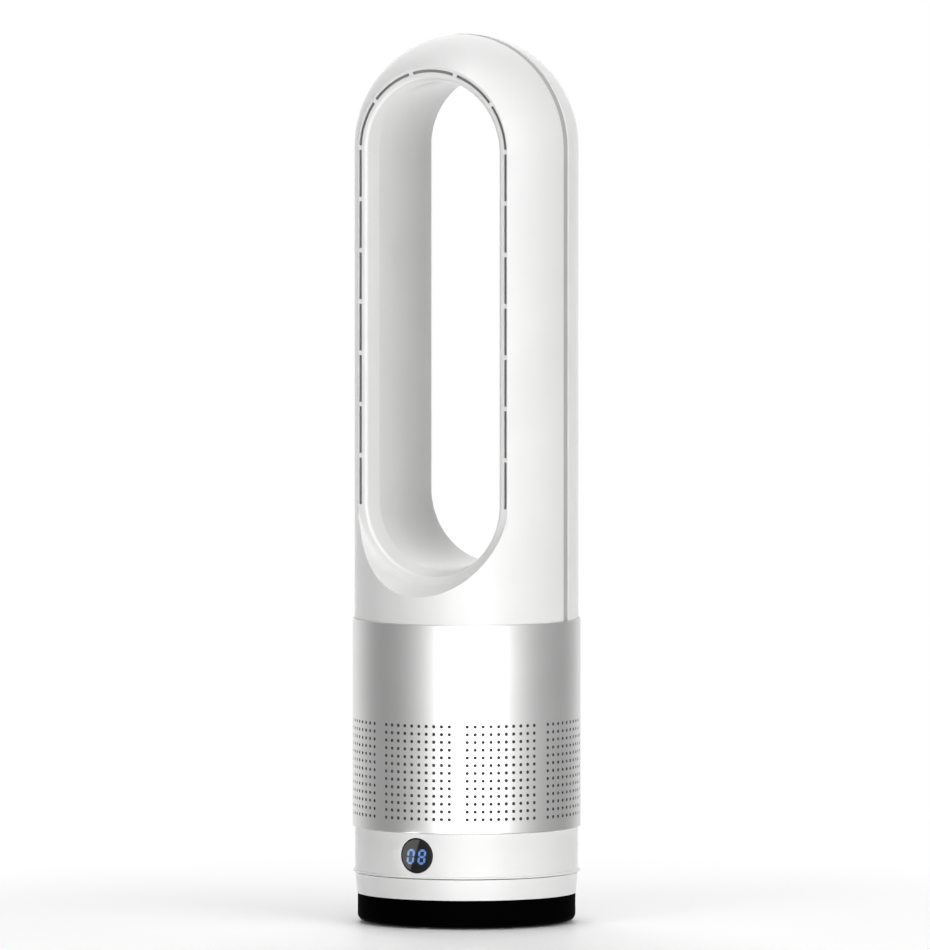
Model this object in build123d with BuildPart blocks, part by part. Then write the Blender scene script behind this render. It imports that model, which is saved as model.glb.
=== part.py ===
from build123d import *
import math
import os

# Bladeless tower fan, 805 mm tall. A black foot and a white base cover stand
# still. Everything above the thin gap under the control ring turns with the
# turntable: the white control ring, the perforated intake sleeve and the tall
# loop nozzle.
#
# Frame: +Z up, origin on the floor at the middle of the foot, front toward -Y.
# All sizes are millimetres.

os.makedirs("parts", exist_ok=True)

# ---------------------------------------------------------------- driving sizes
HEIGHT = 805.0

# outer stack, radii and levels
FOOT_R = 98.6
FOOT_BASE_Z = 1.2
FOOT_TOP_Z = 26.5
FOOT_CHAMFER = 4.5
FOOT_FLOOR = 4.5
FOOT_PAD_R = 78.0
FOOT_PAD_WIDTH = 12.0
FOOT_PAD_LENGTH = 30.0
FOOT_POCKET = 1.0
PILLAR_R = 4.5
PILLAR_CIRCLE_R = 86.0
COVER_BASE_R = 99.3
COVER_TOP_R = 100.7
COVER_TOP_Z = 45.4
RING_R = 101.0
RING_BASE_Z = 46.2
RING_TOP_Z = 87.3
RING_LIP_R = 102.8
SLEEVE_R = 103.2
SLEEVE_WALL = 1.5
NOZZLE_R = 101.4
NOZZLE_BASE_Z = 276.0
DOME_Z = HEIGHT - NOZZLE_R
WALL = 2.5
GLAND_Z = 14.0
GLAND_R = 6.0
GLAND_BORE_R = 3.3
GLAND_LIP = 1.5
GLAND_START_Y = 92.0
GLAND_END_Y = 101.5

# loop nozzle: every section across the loop is the same one, in which r is the
# distance from the loop's middle line and y runs from the front to the rear
LOOP_LOW_Z = 385.5
FRONT_Y = -67.9
MOUTH_R = 67.9
MOUTH_ROUND = 3.4
THROAT_R = 66.4
THROAT_Y = -41.0
REAR_R = 64.6
REAR_ROUND = 9.0
REAR_ROUND_SHIFT = 0.2
REAR_FLATS = 3
PARTING_Y = -2.5
RECESS_R = 75.9
RECESS_DRAFT = math.radians(15.0)
SCOOP_DRAFT = math.radians(20.0)
SLOT_R = 73.2
SLOT_WIDTH = 2.7
SLOT_BRIDGE = 4.2
SLOTS_PER_LEG = 7
SLOTS_OVER_ARCH = 5
LIP_STRIP_R = MOUTH_R + WALL + 1.5

# perforated intake: eight panels, one of them at the front. The real sheet has
# 10 x 13 round holes a panel; here 4 x 4 square ones stand for them and keep
# their open area.
PANELS = 8
PANEL_COLUMNS = 4
PANEL_ROWS = 4
PANEL_MIDDLE_Z = 142.3
HOLE_SIDE = 7.8
HOLE_COLUMN_ANGLE = 10.0
HOLE_ROW_PITCH = 22.0

# swing drive
GEAR_MODULE = 1.5
SECTOR_TEETH_FULL = 64
SECTOR_TEETH = 17
PINION_TEETH = 16
PRESSURE_ANGLE = math.radians(20.0)
TOOTH_THINNING = 0.16
GEAR_Z = 47.4
GEAR_FACE = 5.6
POST_R = 12.0
POST_BORE_R = 7.0
POST_TOP_Z = 55.8
TABLE_Z = 53.0
TABLE_THICK = 2.5
SHAFT_R = 3.5
SHAFT_CLEARANCE = 0.05
SWING_MOTOR_R = 25.0
SWING_MOTOR_Z = 25.0
SWING_FLANGE_Z = 41.0
SWING_SHAFT_OFFSET = 10.0
SWING_BOSS_R = 5.7
SWING_SHAFT_GRIP = 8.5
GEAR_SIDE_GAP = 0.2
GEAR_NARROWING = 0.6
GLIDE_BLOCKS = 6

# display and power button
DISPLAY_Z = 66.8
LENS_R = 16.0
LENS_FACE_R = 101.4
BUTTON_R = 6.0
BUTTON_GAP = 0.35
BUTTON_FACE_Y = 101.8
BUTTON_COLLAR_Y = 97.6
BUTTON_STEM_Y = 94.8
COLLAR_THICK = 1.4
BOARD_THICK = 1.6
MODULE_FRONT_Y = 97.5
MODULE_REAR_Y = 88.5
BOARD_RIB_HEIGHT = 6.5

# fan stage
FRAME_Z = RING_TOP_Z
FRAME_POST_R = 96.0
FLANGE_Z = 188.0
FLANGE_R = SLEEVE_R - SLEEVE_WALL
INLET_R = 50.0
DUCT_R = 64.0
STAGE_SPLIT_Z = 228.0
HUB_R = 46.0
HUB_TOP_Z = 256.0
MOTOR_Z = 231.2
BLADES = 7
VANES = 9
ROTOR_SHAFT_R = 4.0
WHEEL_EYE_Z = 196.0
WHEEL_BACK_Z = 224.5
BLADE_THICK = 1.8
HUB_WALL = 2.2
MOTOR_CAN_R = 36.0
MOTOR_CAN_HEIGHT = 20.0
DAMPERS = 3

# ------------------------------------------------------------- worked-out sizes
FOOT_FLOOR_Z = FOOT_BASE_Z + FOOT_FLOOR
TABLE_TOP_Z = TABLE_Z + TABLE_THICK
RING_INNER_R = RING_R - WALL
SECTOR_PITCH_R = GEAR_MODULE * SECTOR_TEETH_FULL / 2
PINION_PITCH_R = GEAR_MODULE * PINION_TEETH / 2
PINION_Y = SECTOR_PITCH_R + PINION_PITCH_R
PINION_TOP_Z = GEAR_Z - GEAR_SIDE_GAP + GEAR_FACE - GEAR_NARROWING
BOARD_Z = TABLE_TOP_Z + BOARD_RIB_HEIGHT
SLOT_PITCH = (DOME_Z - LOOP_LOW_Z + SLOT_BRIDGE) / SLOTS_PER_LEG


def half_tooth_angle(radius, pitch_r, teeth):
    """Half the angle a tooth fills at this radius, on its involute flanks."""
    base_r = pitch_r * math.cos(PRESSURE_ANGLE)
    turn = math.acos(min(1.0, base_r / radius))
    at_pitch = math.pi / (2 * teeth) - TOOTH_THINNING / (4 * pitch_r)
    return at_pitch + math.tan(PRESSURE_ANGLE) - PRESSURE_ANGLE - (math.tan(turn) - turn)


def tooth_points(middle, pitch_r, teeth):
    """One tooth's root, flank and tip points, from its clockwise side on."""
    radii = (pitch_r - 1.25 * GEAR_MODULE, pitch_r, pitch_r + GEAR_MODULE)
    spans = [(r, half_tooth_angle(r, pitch_r, teeth)) for r in radii]
    right = [(r, middle - half) for r, half in spans]
    left = [(r, middle + half) for r, half in reversed(spans)]
    return [(r * math.cos(a), r * math.sin(a)) for r, a in right + left]


# ================================================================== fixed base
# Foot shell: the black tray that stands on the floor.
with BuildPart() as foot_shell:
    with BuildSketch(Plane.XZ):
        with BuildLine():
            Polyline(
                (0, FOOT_BASE_Z),
                (FOOT_R, FOOT_BASE_Z),
                (FOOT_R, FOOT_TOP_Z),
                (FOOT_R - WALL, FOOT_TOP_Z),
                (FOOT_R - WALL, FOOT_FLOOR_Z),
                (0, FOOT_FLOOR_Z),
                close=True,
            )
        make_face()
    revolve(axis=Axis.Z)
    chamfer(foot_shell.edges().group_by(Axis.Z)[0], FOOT_CHAMFER)
    # pockets in the underside that the rubber feet sit in
    with BuildSketch(Plane.XY.offset(FOOT_BASE_Z)):
        with PolarLocations(FOOT_PAD_R, 4, start_angle=45):
            Rectangle(FOOT_PAD_WIDTH, FOOT_PAD_LENGTH)
    extrude(amount=FOOT_POCKET, mode=Mode.SUBTRACT)
    # mouth for the cord gland at the rear
    with BuildSketch(Plane.XZ.offset(-80)):
        with Locations((0, GLAND_Z)):
            Circle(GLAND_R)
    extrude(amount=-30, mode=Mode.SUBTRACT)
foot_shell.part.label = "foot_shell"
export_step(foot_shell.part, "parts/foot_shell.step")

# Rubber feet: four pads in the foot's pockets; the fan stands on them.
with BuildPart() as rubber_feet:
    with BuildSketch(Plane.XY):
        with PolarLocations(FOOT_PAD_R, 4, start_angle=45):
            Rectangle(FOOT_PAD_WIDTH, FOOT_PAD_LENGTH)
    extrude(amount=FOOT_BASE_Z + FOOT_POCKET)
rubber_feet.part.label = "rubber_feet"
export_step(rubber_feet.part, "parts/rubber_feet.step")

# Ballast: a steel slab low in the foot, clear of the swing motor above it.
with BuildPart() as ballast_plate:
    with BuildSketch(Plane.XY.offset(FOOT_FLOOR_Z)):
        Rectangle(120, 100)
        chamfer(vertices(), 18)
    extrude(amount=12)
ballast_plate.part.label = "ballast_plate"
export_step(ballast_plate.part, "parts/ballast_plate.step")

# Base cover: the white collar, its deck and the hollow post that all turns on.
with BuildPart() as base_cover:
    with BuildSketch(Plane.XZ):
        with BuildLine():
            Polyline(
                (POST_BORE_R, COVER_TOP_Z - WALL),
                (COVER_BASE_R - WALL, COVER_TOP_Z - WALL),
                (COVER_BASE_R - WALL, FOOT_TOP_Z),
                (COVER_BASE_R, FOOT_TOP_Z),
                (COVER_TOP_R, COVER_TOP_Z),
                (POST_R, COVER_TOP_Z),
                (POST_R, POST_TOP_Z),
                (POST_BORE_R, POST_TOP_Z),
                close=True,
            )
        make_face()
    revolve(axis=Axis.Z)
    # screw pillars down to the foot's floor
    with BuildSketch(Plane.XY.offset(FOOT_FLOOR_Z)):
        with PolarLocations(PILLAR_CIRCLE_R, 3, start_angle=-90):
            Circle(PILLAR_R)
    extrude(until=Until.NEXT)
    # the swing motor's boss comes up through the deck
    with BuildSketch(Plane.XY.offset(COVER_TOP_Z)):
        with Locations((0, PINION_Y)):
            Circle(6)
    extrude(amount=-2 * WALL, mode=Mode.SUBTRACT)
base_cover.part.label = "base_cover"
export_step(base_cover.part, "parts/base_cover.step")

# Glide blocks: six low-friction pads on the deck that carry the turntable.
with BuildPart() as glide_blocks:
    with BuildSketch(Plane.XY.offset(COVER_TOP_Z)):
        with PolarLocations(PILLAR_CIRCLE_R, GLIDE_BLOCKS, start_angle=30):
            Rectangle(9, 16)
    extrude(amount=TABLE_Z - GEAR_SIDE_GAP - COVER_TOP_Z)
glide_blocks.part.label = "glide_blocks"
export_step(glide_blocks.part, "parts/glide_blocks.step")

# Cord gland: the rubber bush in the foot's rear wall that the cord comes out of.
with BuildPart() as cord_gland:
    with BuildSketch(Plane.XY.offset(GLAND_Z)):
        with BuildLine():
            Polyline(
                (GLAND_BORE_R, GLAND_START_Y),
                (GLAND_R, GLAND_START_Y),
                (GLAND_R, FOOT_R),
                (GLAND_R + GLAND_LIP, FOOT_R),
                (GLAND_R + GLAND_LIP, GLAND_END_Y),
                (GLAND_BORE_R, GLAND_END_Y),
                close=True,
            )
        make_face()
    revolve(axis=Axis((0, 0, GLAND_Z), (0, 1, 0)))
cord_gland.part.label = "cord_gland"
export_step(cord_gland.part, "parts/cord_gland.step")

# Swing motor: a geared synchronous can under the deck, its shaft off centre.
with BuildPart() as swing_motor:
    with BuildSketch(Plane.XY.offset(SWING_MOTOR_Z)):
        with Locations((0, PINION_Y - SWING_SHAFT_OFFSET)):
            Circle(SWING_MOTOR_R)
    extrude(amount=SWING_FLANGE_Z - SWING_MOTOR_Z)
    with BuildSketch(Plane.XY.offset(SWING_FLANGE_Z)):
        with Locations((0, PINION_Y - SWING_SHAFT_OFFSET)):
            SlotOverall(2 * SWING_MOTOR_R + 18, 12)
    extrude(amount=COVER_TOP_Z - WALL - SWING_FLANGE_Z)
    with BuildSketch(Plane.XY.offset(SWING_FLANGE_Z)):
        with Locations((0, PINION_Y)):
            Circle(SWING_BOSS_R)
    extrude(amount=COVER_TOP_Z - SWING_FLANGE_Z)
    with BuildSketch(Plane.XY.offset(COVER_TOP_Z)):
        with Locations((0, PINION_Y)):
            Circle(SHAFT_R + SHAFT_CLEARANCE)
    extrude(amount=-SWING_SHAFT_GRIP - 0.5, mode=Mode.SUBTRACT)
swing_motor.part.label = "swing_motor"
export_step(swing_motor.part, "parts/swing_motor.step")

# Post clip: the washer on top of the post that keeps the turntable down.
with BuildPart() as post_clip:
    with BuildSketch(Plane.XY.offset(POST_TOP_Z)):
        Circle(POST_R + 5)
        Circle(POST_BORE_R, mode=Mode.SUBTRACT)
    extrude(amount=1.6)
post_clip.part.label = "post_clip"
export_step(post_clip.part, "parts/post_clip.step")

# ============================================================== swing drive
# Swing shaft and pinion: they turn together on the motor's axis.
with BuildPart() as swing_shaft:
    with BuildSketch(Plane.XY.offset(COVER_TOP_Z - SWING_SHAFT_GRIP)):
        with Locations((0, PINION_Y)):
            Circle(SHAFT_R)
    extrude(amount=PINION_TOP_Z - COVER_TOP_Z + SWING_SHAFT_GRIP)
swing_shaft.part.label = "swing_shaft"
export_step(swing_shaft.part, "parts/swing_shaft.step")

with BuildPart() as swing_pinion:
    with BuildSketch(Plane((0, PINION_Y, GEAR_Z - GEAR_SIDE_GAP))):
        with BuildLine():
            # a tooth gap faces the sector's middle tooth, toward -Y
            step = 2 * math.pi / PINION_TEETH
            first = -math.pi / 2 + step / 2
            teeth = [
                tooth_points(first + n * step, PINION_PITCH_R, PINION_TEETH)
                for n in range(PINION_TEETH)
            ]
            Polyline([point for tooth in teeth for point in tooth], close=True)
        make_face()
        Circle(SHAFT_R, mode=Mode.SUBTRACT)
    extrude(amount=GEAR_FACE - GEAR_NARROWING)
swing_pinion.part.label = "swing_pinion"
export_step(swing_pinion.part, "parts/swing_pinion.step")

# ============================================================ turning column
# Turntable: the disc and hub that carry the whole column on the post.
with BuildPart() as turntable:
    with BuildSketch(Plane.XZ):
        with BuildLine():
            Polyline(
                (POST_R + SHAFT_CLEARANCE, GEAR_Z),
                (POST_R + 6, GEAR_Z),
                (POST_R + 6, TABLE_Z),
                (RING_INNER_R, TABLE_Z),
                (RING_INNER_R, TABLE_TOP_Z),
                (POST_R + SHAFT_CLEARANCE, TABLE_TOP_Z),
                close=True,
            )
        make_face()
    revolve(axis=Axis.Z)
    # ribs that hold the control board off the disc
    with BuildSketch(Plane.XY.offset(TABLE_TOP_Z)):
        with Locations((-38, 0), (38, 0)):
            Rectangle(3, 50)
    extrude(amount=BOARD_RIB_HEIGHT)
turntable.part.label = "turntable"
export_step(turntable.part, "parts/turntable.step")

# Gear sector: hangs under the turntable and meshes with the pinion.
with BuildPart() as gear_sector:
    with BuildSketch(Plane.XY.offset(GEAR_Z)):
        with BuildLine():
            step = 2 * math.pi / SECTOR_TEETH_FULL
            first = math.pi / 2 - (SECTOR_TEETH - 1) / 2 * step
            teeth = [
                tooth_points(first + n * step, SECTOR_PITCH_R, SECTOR_TEETH_FULL)
                for n in range(SECTOR_TEETH)
            ]
            inner_r = POST_R + 14
            left = (-inner_r * math.cos(math.radians(35)), inner_r * math.sin(math.radians(35)))
            right = (-left[0], left[1])
            Polyline([right] + [point for tooth in teeth for point in tooth] + [left])
            ThreePointArc(left, (0, inner_r), right)
        make_face()
    extrude(amount=TABLE_Z - GEAR_Z)
gear_sector.part.label = "gear_sector"
export_step(gear_sector.part, "parts/gear_sector.step")

# Control ring: the white band with the display window and the button hole.
with BuildPart() as control_ring:
    with BuildSketch(Plane.XZ):
        with BuildLine():
            Polyline(
                (RING_INNER_R, RING_BASE_Z),
                (RING_LIP_R, RING_BASE_Z),
                (RING_LIP_R, RING_BASE_Z + 1.0),
                (RING_R, RING_BASE_Z + 1.8),
                (RING_R, RING_TOP_Z),
                (RING_INNER_R, RING_TOP_Z),
                close=True,
            )
        make_face()
    revolve(axis=Axis.Z)
    with BuildSketch(Plane.XZ.offset(80)):
        with Locations((0, DISPLAY_Z)):
            Circle(LENS_R)
    extrude(amount=30, mode=Mode.SUBTRACT)
    with BuildSketch(Plane.XZ.offset(-80)):
        with Locations((0, DISPLAY_Z)):
            Circle(BUTTON_R + BUTTON_GAP)
    extrude(amount=-30, mode=Mode.SUBTRACT)
control_ring.part.label = "control_ring"
export_step(control_ring.part, "parts/control_ring.step")

# Display lens: dark window, its face curved like the ring and a touch proud.
with BuildPart() as display_lens:
    with BuildSketch(Plane.XY.offset(DISPLAY_Z - 2 * LENS_R)):
        Circle(LENS_FACE_R)
        Circle(RING_INNER_R, mode=Mode.SUBTRACT)
    extrude(amount=4 * LENS_R)
    with BuildSketch(Plane.XZ.offset(90)):
        with Locations((0, DISPLAY_Z)):
            Circle(LENS_R)
    extrude(amount=20, mode=Mode.INTERSECT)
display_lens.part.label = "display_lens"
export_step(display_lens.part, "parts/display_lens.step")

# Display module: the two-digit light module that shines through the lens.
with BuildPart() as display_module:
    with BuildSketch(Plane.XZ.offset(MODULE_REAR_Y)):
        with Locations((0, DISPLAY_Z)):
            Rectangle(25, 19)
    extrude(amount=MODULE_FRONT_Y - MODULE_REAR_Y)
display_module.part.label = "display_module"
export_step(display_module.part, "parts/display_module.step")

# Display board: stands on the turntable behind the module.
with BuildPart() as display_board:
    with BuildSketch(Plane.XZ.offset(MODULE_REAR_Y - BOARD_THICK)):
        with Locations((0, TABLE_TOP_Z)):
            Rectangle(46, 26, align=(Align.CENTER, Align.MIN))
    extrude(amount=BOARD_THICK)
display_board.part.label = "display_board"
export_step(display_board.part, "parts/display_board.step")

# Control board: lies on the turntable's ribs, with its larger components.
with BuildPart() as control_board:
    with BuildSketch(Plane.XY.offset(BOARD_Z)):
        Rectangle(84, 56)
    extrude(amount=BOARD_THICK)
    with BuildSketch(Plane.XY.offset(BOARD_Z + BOARD_THICK)):
        with Locations((-24, 8)):
            Rectangle(26, 22)
        with Locations((14, 14)):
            Rectangle(14, 18)
    extrude(amount=16)
    with BuildSketch(Plane.XY.offset(BOARD_Z + BOARD_THICK)):
        with Locations((-10, -20), (12, -20)):
            Rectangle(14, 7)
        with Locations((34, 2)):
            Rectangle(8, 24)
    extrude(amount=8)
control_board.part.label = "control_board"
export_step(control_board.part, "parts/control_board.step")

# Switch board: carries the push switch behind the power button.
with BuildPart() as switch_board:
    with BuildSketch(Plane.XZ.offset(BOARD_THICK - 88)):
        with Locations((0, TABLE_TOP_Z)):
            Rectangle(22, 20, align=(Align.CENTER, Align.MIN))
    extrude(amount=-BOARD_THICK)
    with BuildSketch(Plane.XZ.offset(-88)):
        with Locations((0, DISPLAY_Z)):
            Rectangle(12, 12)
    extrude(amount=-5.2)
switch_board.part.label = "switch_board"
export_step(switch_board.part, "parts/switch_board.step")

# Power button: cap, retaining collar and stem on one axis along Y.
with BuildPart() as power_button:
    with BuildSketch(Plane.XZ.offset(COLLAR_THICK - BUTTON_COLLAR_Y)):
        with Locations((0, DISPLAY_Z)):
            Circle(BUTTON_R + 1.5)
    extrude(amount=-COLLAR_THICK)
    with BuildSketch(Plane.XZ.offset(-BUTTON_COLLAR_Y)):
        with Locations((0, DISPLAY_Z)):
            Circle(BUTTON_R)
    extrude(amount=BUTTON_COLLAR_Y - BUTTON_FACE_Y)
    with BuildSketch(Plane.XZ.offset(-BUTTON_STEM_Y)):
        with Locations((0, DISPLAY_Z)):
            Circle(2)
    extrude(amount=BUTTON_STEM_Y + COLLAR_THICK - BUTTON_COLLAR_Y)
power_button.part.label = "power_button"
export_step(power_button.part, "parts/power_button.step")

# Intake frame: a floor on the control ring and eight posts behind the sleeve's
# plain strips; the fan stage stands on them.
with BuildPart() as intake_frame:
    with BuildSketch(Plane.XY.offset(FRAME_Z)):
        Circle(FLANGE_R)
    extrude(amount=WALL)
    with BuildSketch(Plane.XY.offset(FRAME_Z + WALL)):
        with PolarLocations(FRAME_POST_R, PANELS, start_angle=180 / PANELS):
            Rectangle(9, 5)
    extrude(amount=FLANGE_Z - FRAME_Z - WALL)
intake_frame.part.label = "intake_frame"
export_step(intake_frame.part, "parts/intake_frame.step")

# Intake sleeve: the silver outer tube with its perforated panels.
hole_angles = [
    math.radians(360 / PANELS * panel + HOLE_COLUMN_ANGLE * (column - (PANEL_COLUMNS - 1) / 2))
    for panel in range(PANELS)
    for column in range(PANEL_COLUMNS)
]
hole_planes = [
    Plane(
        origin=((SLEEVE_R - 4) * math.cos(a), (SLEEVE_R - 4) * math.sin(a), 0),
        x_dir=(-math.sin(a), math.cos(a), 0),
        z_dir=(math.cos(a), math.sin(a), 0),
    )
    for a in hole_angles
]
with BuildPart() as intake_sleeve:
    with BuildSketch(Plane.XY.offset(RING_TOP_Z)):
        Circle(SLEEVE_R)
        Circle(SLEEVE_R - SLEEVE_WALL, mode=Mode.SUBTRACT)
    extrude(amount=NOZZLE_BASE_Z - RING_TOP_Z)
    with BuildSketch(*hole_planes):
        with Locations((0, PANEL_MIDDLE_Z)):
            with GridLocations(1, HOLE_ROW_PITCH, 1, PANEL_ROWS):
                Rectangle(HOLE_SIDE, HOLE_SIDE)
    extrude(amount=8, mode=Mode.SUBTRACT)
intake_sleeve.part.label = "intake_sleeve"
export_step(intake_sleeve.part, "parts/intake_sleeve.step")

# Impeller housing: a flange on the posts, the bell mouth the air turns up
# through, and the cone that wraps the impeller.
with BuildPart() as impeller_housing:
    with BuildSketch(Plane.XZ):
        with BuildLine():
            Polyline(
                (INLET_R + 8, FLANGE_Z),
                (FLANGE_R, FLANGE_Z),
                (FLANGE_R, FLANGE_Z + WALL),
                (INLET_R + 6, FLANGE_Z + WALL),
                (DUCT_R + WALL, STAGE_SPLIT_Z),
                (DUCT_R, STAGE_SPLIT_Z),
                (INLET_R, FLANGE_Z + 8),
                close=True,
            )
        make_face()
    revolve(axis=Axis.Z)
impeller_housing.part.label = "impeller_housing"
export_step(impeller_housing.part, "parts/impeller_housing.step")

# Diffuser: a ring duct with straightening vanes round the motor's hub, and the
# flange on top of it that carries the nozzle.
with BuildPart() as diffuser:
    with BuildSketch(Plane.XY.offset(STAGE_SPLIT_Z + 4)):
        with PolarLocations((HUB_R + DUCT_R) / 2, VANES):
            Rectangle(DUCT_R - HUB_R + 2, BLADE_THICK)
    extrude(amount=22)
    with BuildSketch(Plane.XZ):
        with BuildLine():
            Polyline(
                (DUCT_R, STAGE_SPLIT_Z),
                (DUCT_R + WALL, STAGE_SPLIT_Z),
                (DUCT_R + WALL, NOZZLE_BASE_Z - 6),
                (FLANGE_R, NOZZLE_BASE_Z - 6),
                (FLANGE_R, NOZZLE_BASE_Z),
                (DUCT_R, NOZZLE_BASE_Z),
                close=True,
            )
        make_face()
        with BuildLine():
            Polyline(
                (6, STAGE_SPLIT_Z + 1),
                (HUB_R, STAGE_SPLIT_Z + 1),
                (HUB_R, HUB_TOP_Z),
                (HUB_R - HUB_WALL, HUB_TOP_Z),
                (HUB_R - HUB_WALL, MOTOR_Z),
                (6, MOTOR_Z),
                close=True,
            )
        make_face()
    revolve(axis=Axis.Z)
diffuser.part.label = "diffuser"
export_step(diffuser.part, "parts/diffuser.step")

# Fan motor: the brushless can that stands on the hub's floor.
with BuildPart() as fan_motor:
    with BuildSketch(Plane.XY.offset(MOTOR_Z)):
        Circle(MOTOR_CAN_R)
        Circle(ROTOR_SHAFT_R + SHAFT_CLEARANCE, mode=Mode.SUBTRACT)
    extrude(amount=MOTOR_CAN_HEIGHT)
fan_motor.part.label = "fan_motor"
export_step(fan_motor.part, "parts/fan_motor.step")

# Motor dampers: three rubber blocks that centre the can in the hub.
with BuildPart() as motor_dampers:
    with BuildSketch(Plane.XY.offset(MOTOR_Z)):
        with PolarLocations(MOTOR_CAN_R + 3.6, DAMPERS):
            Rectangle(7.2, 14)
    extrude(amount=MOTOR_CAN_HEIGHT - 4)
motor_dampers.part.label = "motor_dampers"
export_step(motor_dampers.part, "parts/motor_dampers.step")

# Hub cap: the tail cone that closes the hub over the motor.
with BuildPart() as hub_cap:
    with BuildSketch(Plane.XZ):
        with BuildLine():
            Polyline((0, HUB_TOP_Z), (HUB_R, HUB_TOP_Z), (HUB_R, 262), (38, 270), (0, 270), close=True)
        make_face()
    revolve(axis=Axis.Z)
hub_cap.part.label = "hub_cap"
export_step(hub_cap.part, "parts/hub_cap.step")

# Impeller: a mixed-flow wheel, its curved blades cut to the housing's cone.
with BuildSketch() as blade_section:
    with BuildLine():
        ThreePointArc((14, 0), (36, -12), (64, -13))
        Line((64, -13), (64, -11.2))
        ThreePointArc((64, -11.2), (36, -10.2), (14, 1.8))
        Line((14, 1.8), (14, 0))
    make_face()

with BuildPart() as blade_ring:
    with BuildSketch(Plane.XY.offset(WHEEL_EYE_Z + 2)):
        with PolarLocations(0, BLADES):
            add(blade_section.sketch)
    extrude(amount=26.5)
    with BuildSketch(Plane.XZ):
        with BuildLine():
            Polyline((16, 200), (49.9, 200), (61.3, WHEEL_BACK_Z), (16, WHEEL_BACK_Z), close=True)
        make_face()
    revolve(axis=Axis.Z, mode=Mode.INTERSECT)

with BuildPart() as impeller:
    with BuildSketch(Plane.XZ):
        with BuildLine():
            Polyline(
                (ROTOR_SHAFT_R, WHEEL_EYE_Z),
                (11, WHEEL_EYE_Z),
                (21, 211),
                (HUB_R, WHEEL_BACK_Z - 3),
                (HUB_R, WHEEL_BACK_Z),
                (ROTOR_SHAFT_R, WHEEL_BACK_Z),
                close=True,
            )
        make_face()
    revolve(axis=Axis.Z)
    add(blade_ring.part)
impeller.part.label = "impeller"
export_step(impeller.part, "parts/impeller.step")

# Rotor shaft: runs in the motor and carries the impeller below it.
with BuildPart() as rotor_shaft:
    with BuildSketch(Plane.XY.offset(190)):
        Circle(ROTOR_SHAFT_R)
    extrude(amount=58)
rotor_shaft.part.label = "rotor_shaft"
export_step(rotor_shaft.part, "parts/rotor_shaft.step")

# Rotor nut: clamps the impeller on the shaft.
with BuildPart() as rotor_nut:
    with BuildSketch(Plane.XY.offset(WHEEL_EYE_Z - 5)):
        RegularPolygon(7, 6)
        Circle(ROTOR_SHAFT_R, mode=Mode.SUBTRACT)
    extrude(amount=5)
rotor_nut.part.label = "rotor_nut"
export_step(rotor_nut.part, "parts/rotor_nut.step")

# ================================================================ loop nozzle
REAR_CENTRE_R = REAR_R + REAR_ROUND
REAR_CENTRE_Y = math.sqrt((NOZZLE_R - REAR_ROUND) ** 2 - REAR_CENTRE_R**2) + REAR_ROUND_SHIFT
REAR_LEAN = math.atan2(REAR_CENTRE_Y, REAR_CENTRE_R)
FAR_Y = 112.0


def rear_round(radius, flats):
    """The rear round in the loop's section, as flats from the wall outward."""
    turns = [math.pi + (REAR_LEAN - math.pi) * n / flats for n in range(flats + 1)]
    return [
        (REAR_CENTRE_R + radius * math.cos(t), REAR_CENTRE_Y + radius * math.sin(t))
        for t in turns
    ]


# Half sections across the loop: the air's opening with its front recess and
# rear scoop, and the wall round it that the duct leaves standing.
with BuildSketch() as opening_section:
    with BuildLine():
        lip = MOUTH_ROUND * (1 - math.sqrt(0.5))
        rear = rear_round(REAR_ROUND, REAR_FLATS)
        scoop_r, scoop_y = rear[-1]
        Polyline(
            (0, -FAR_Y),
            (RECESS_R + (FAR_Y + FRONT_Y) * math.tan(RECESS_DRAFT), -FAR_Y),
            (RECESS_R, FRONT_Y),
            (MOUTH_R + MOUTH_ROUND, FRONT_Y),
            (MOUTH_R + lip, FRONT_Y + lip),
            (MOUTH_R, FRONT_Y + MOUTH_ROUND),
            (THROAT_R, THROAT_Y),
            *rear,
            (scoop_r + (FAR_Y - scoop_y) * math.tan(SCOOP_DRAFT), FAR_Y),
            (0, FAR_Y),
            close=True,
        )
    make_face()

with BuildSketch() as core_section:
    with BuildLine():
        recess_r = RECESS_R + WALL * (1 / math.cos(RECESS_DRAFT) - math.tan(RECESS_DRAFT))
        rear = rear_round(REAR_ROUND - WALL, 2)
        corner_y = rear[-1][1] - 3
        corner_r = scoop_r + WALL / math.cos(SCOOP_DRAFT) - (scoop_y - corner_y) * math.tan(SCOOP_DRAFT)
        Polyline(
            (0, -FAR_Y),
            (recess_r + (FAR_Y + FRONT_Y + WALL) * math.tan(RECESS_DRAFT), -FAR_Y),
            (recess_r, FRONT_Y + WALL),
            (MOUTH_R + WALL, FRONT_Y + WALL),
            (THROAT_R + WALL, THROAT_Y),
            *rear,
            (corner_r, corner_y),
            (corner_r + (FAR_Y - corner_y) * math.tan(SCOOP_DRAFT), FAR_Y),
            (0, FAR_Y),
            close=True,
        )
    make_face()


def swept_round_loop(section):
    """The half section carried round the whole loop: foot bend, legs and arch."""
    with BuildPart() as loop:
        with BuildSketch(Plane.XY.offset(LOOP_LOW_Z)):
            add(section.sketch)
            mirror(about=Plane.YZ)
        extrude(amount=DOME_Z - LOOP_LOW_Z)
        with BuildSketch(Plane.XY.offset(LOOP_LOW_Z)):
            add(section.sketch)
        revolve(axis=Axis((0, 0, LOOP_LOW_Z), (0, 1, 0)), revolution_arc=180)
        with BuildSketch(Plane.XY.offset(DOME_Z)):
            add(section.sketch)
        revolve(axis=Axis((0, 0, DOME_Z), (0, -1, 0)), revolution_arc=180)
    return loop.part


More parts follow.
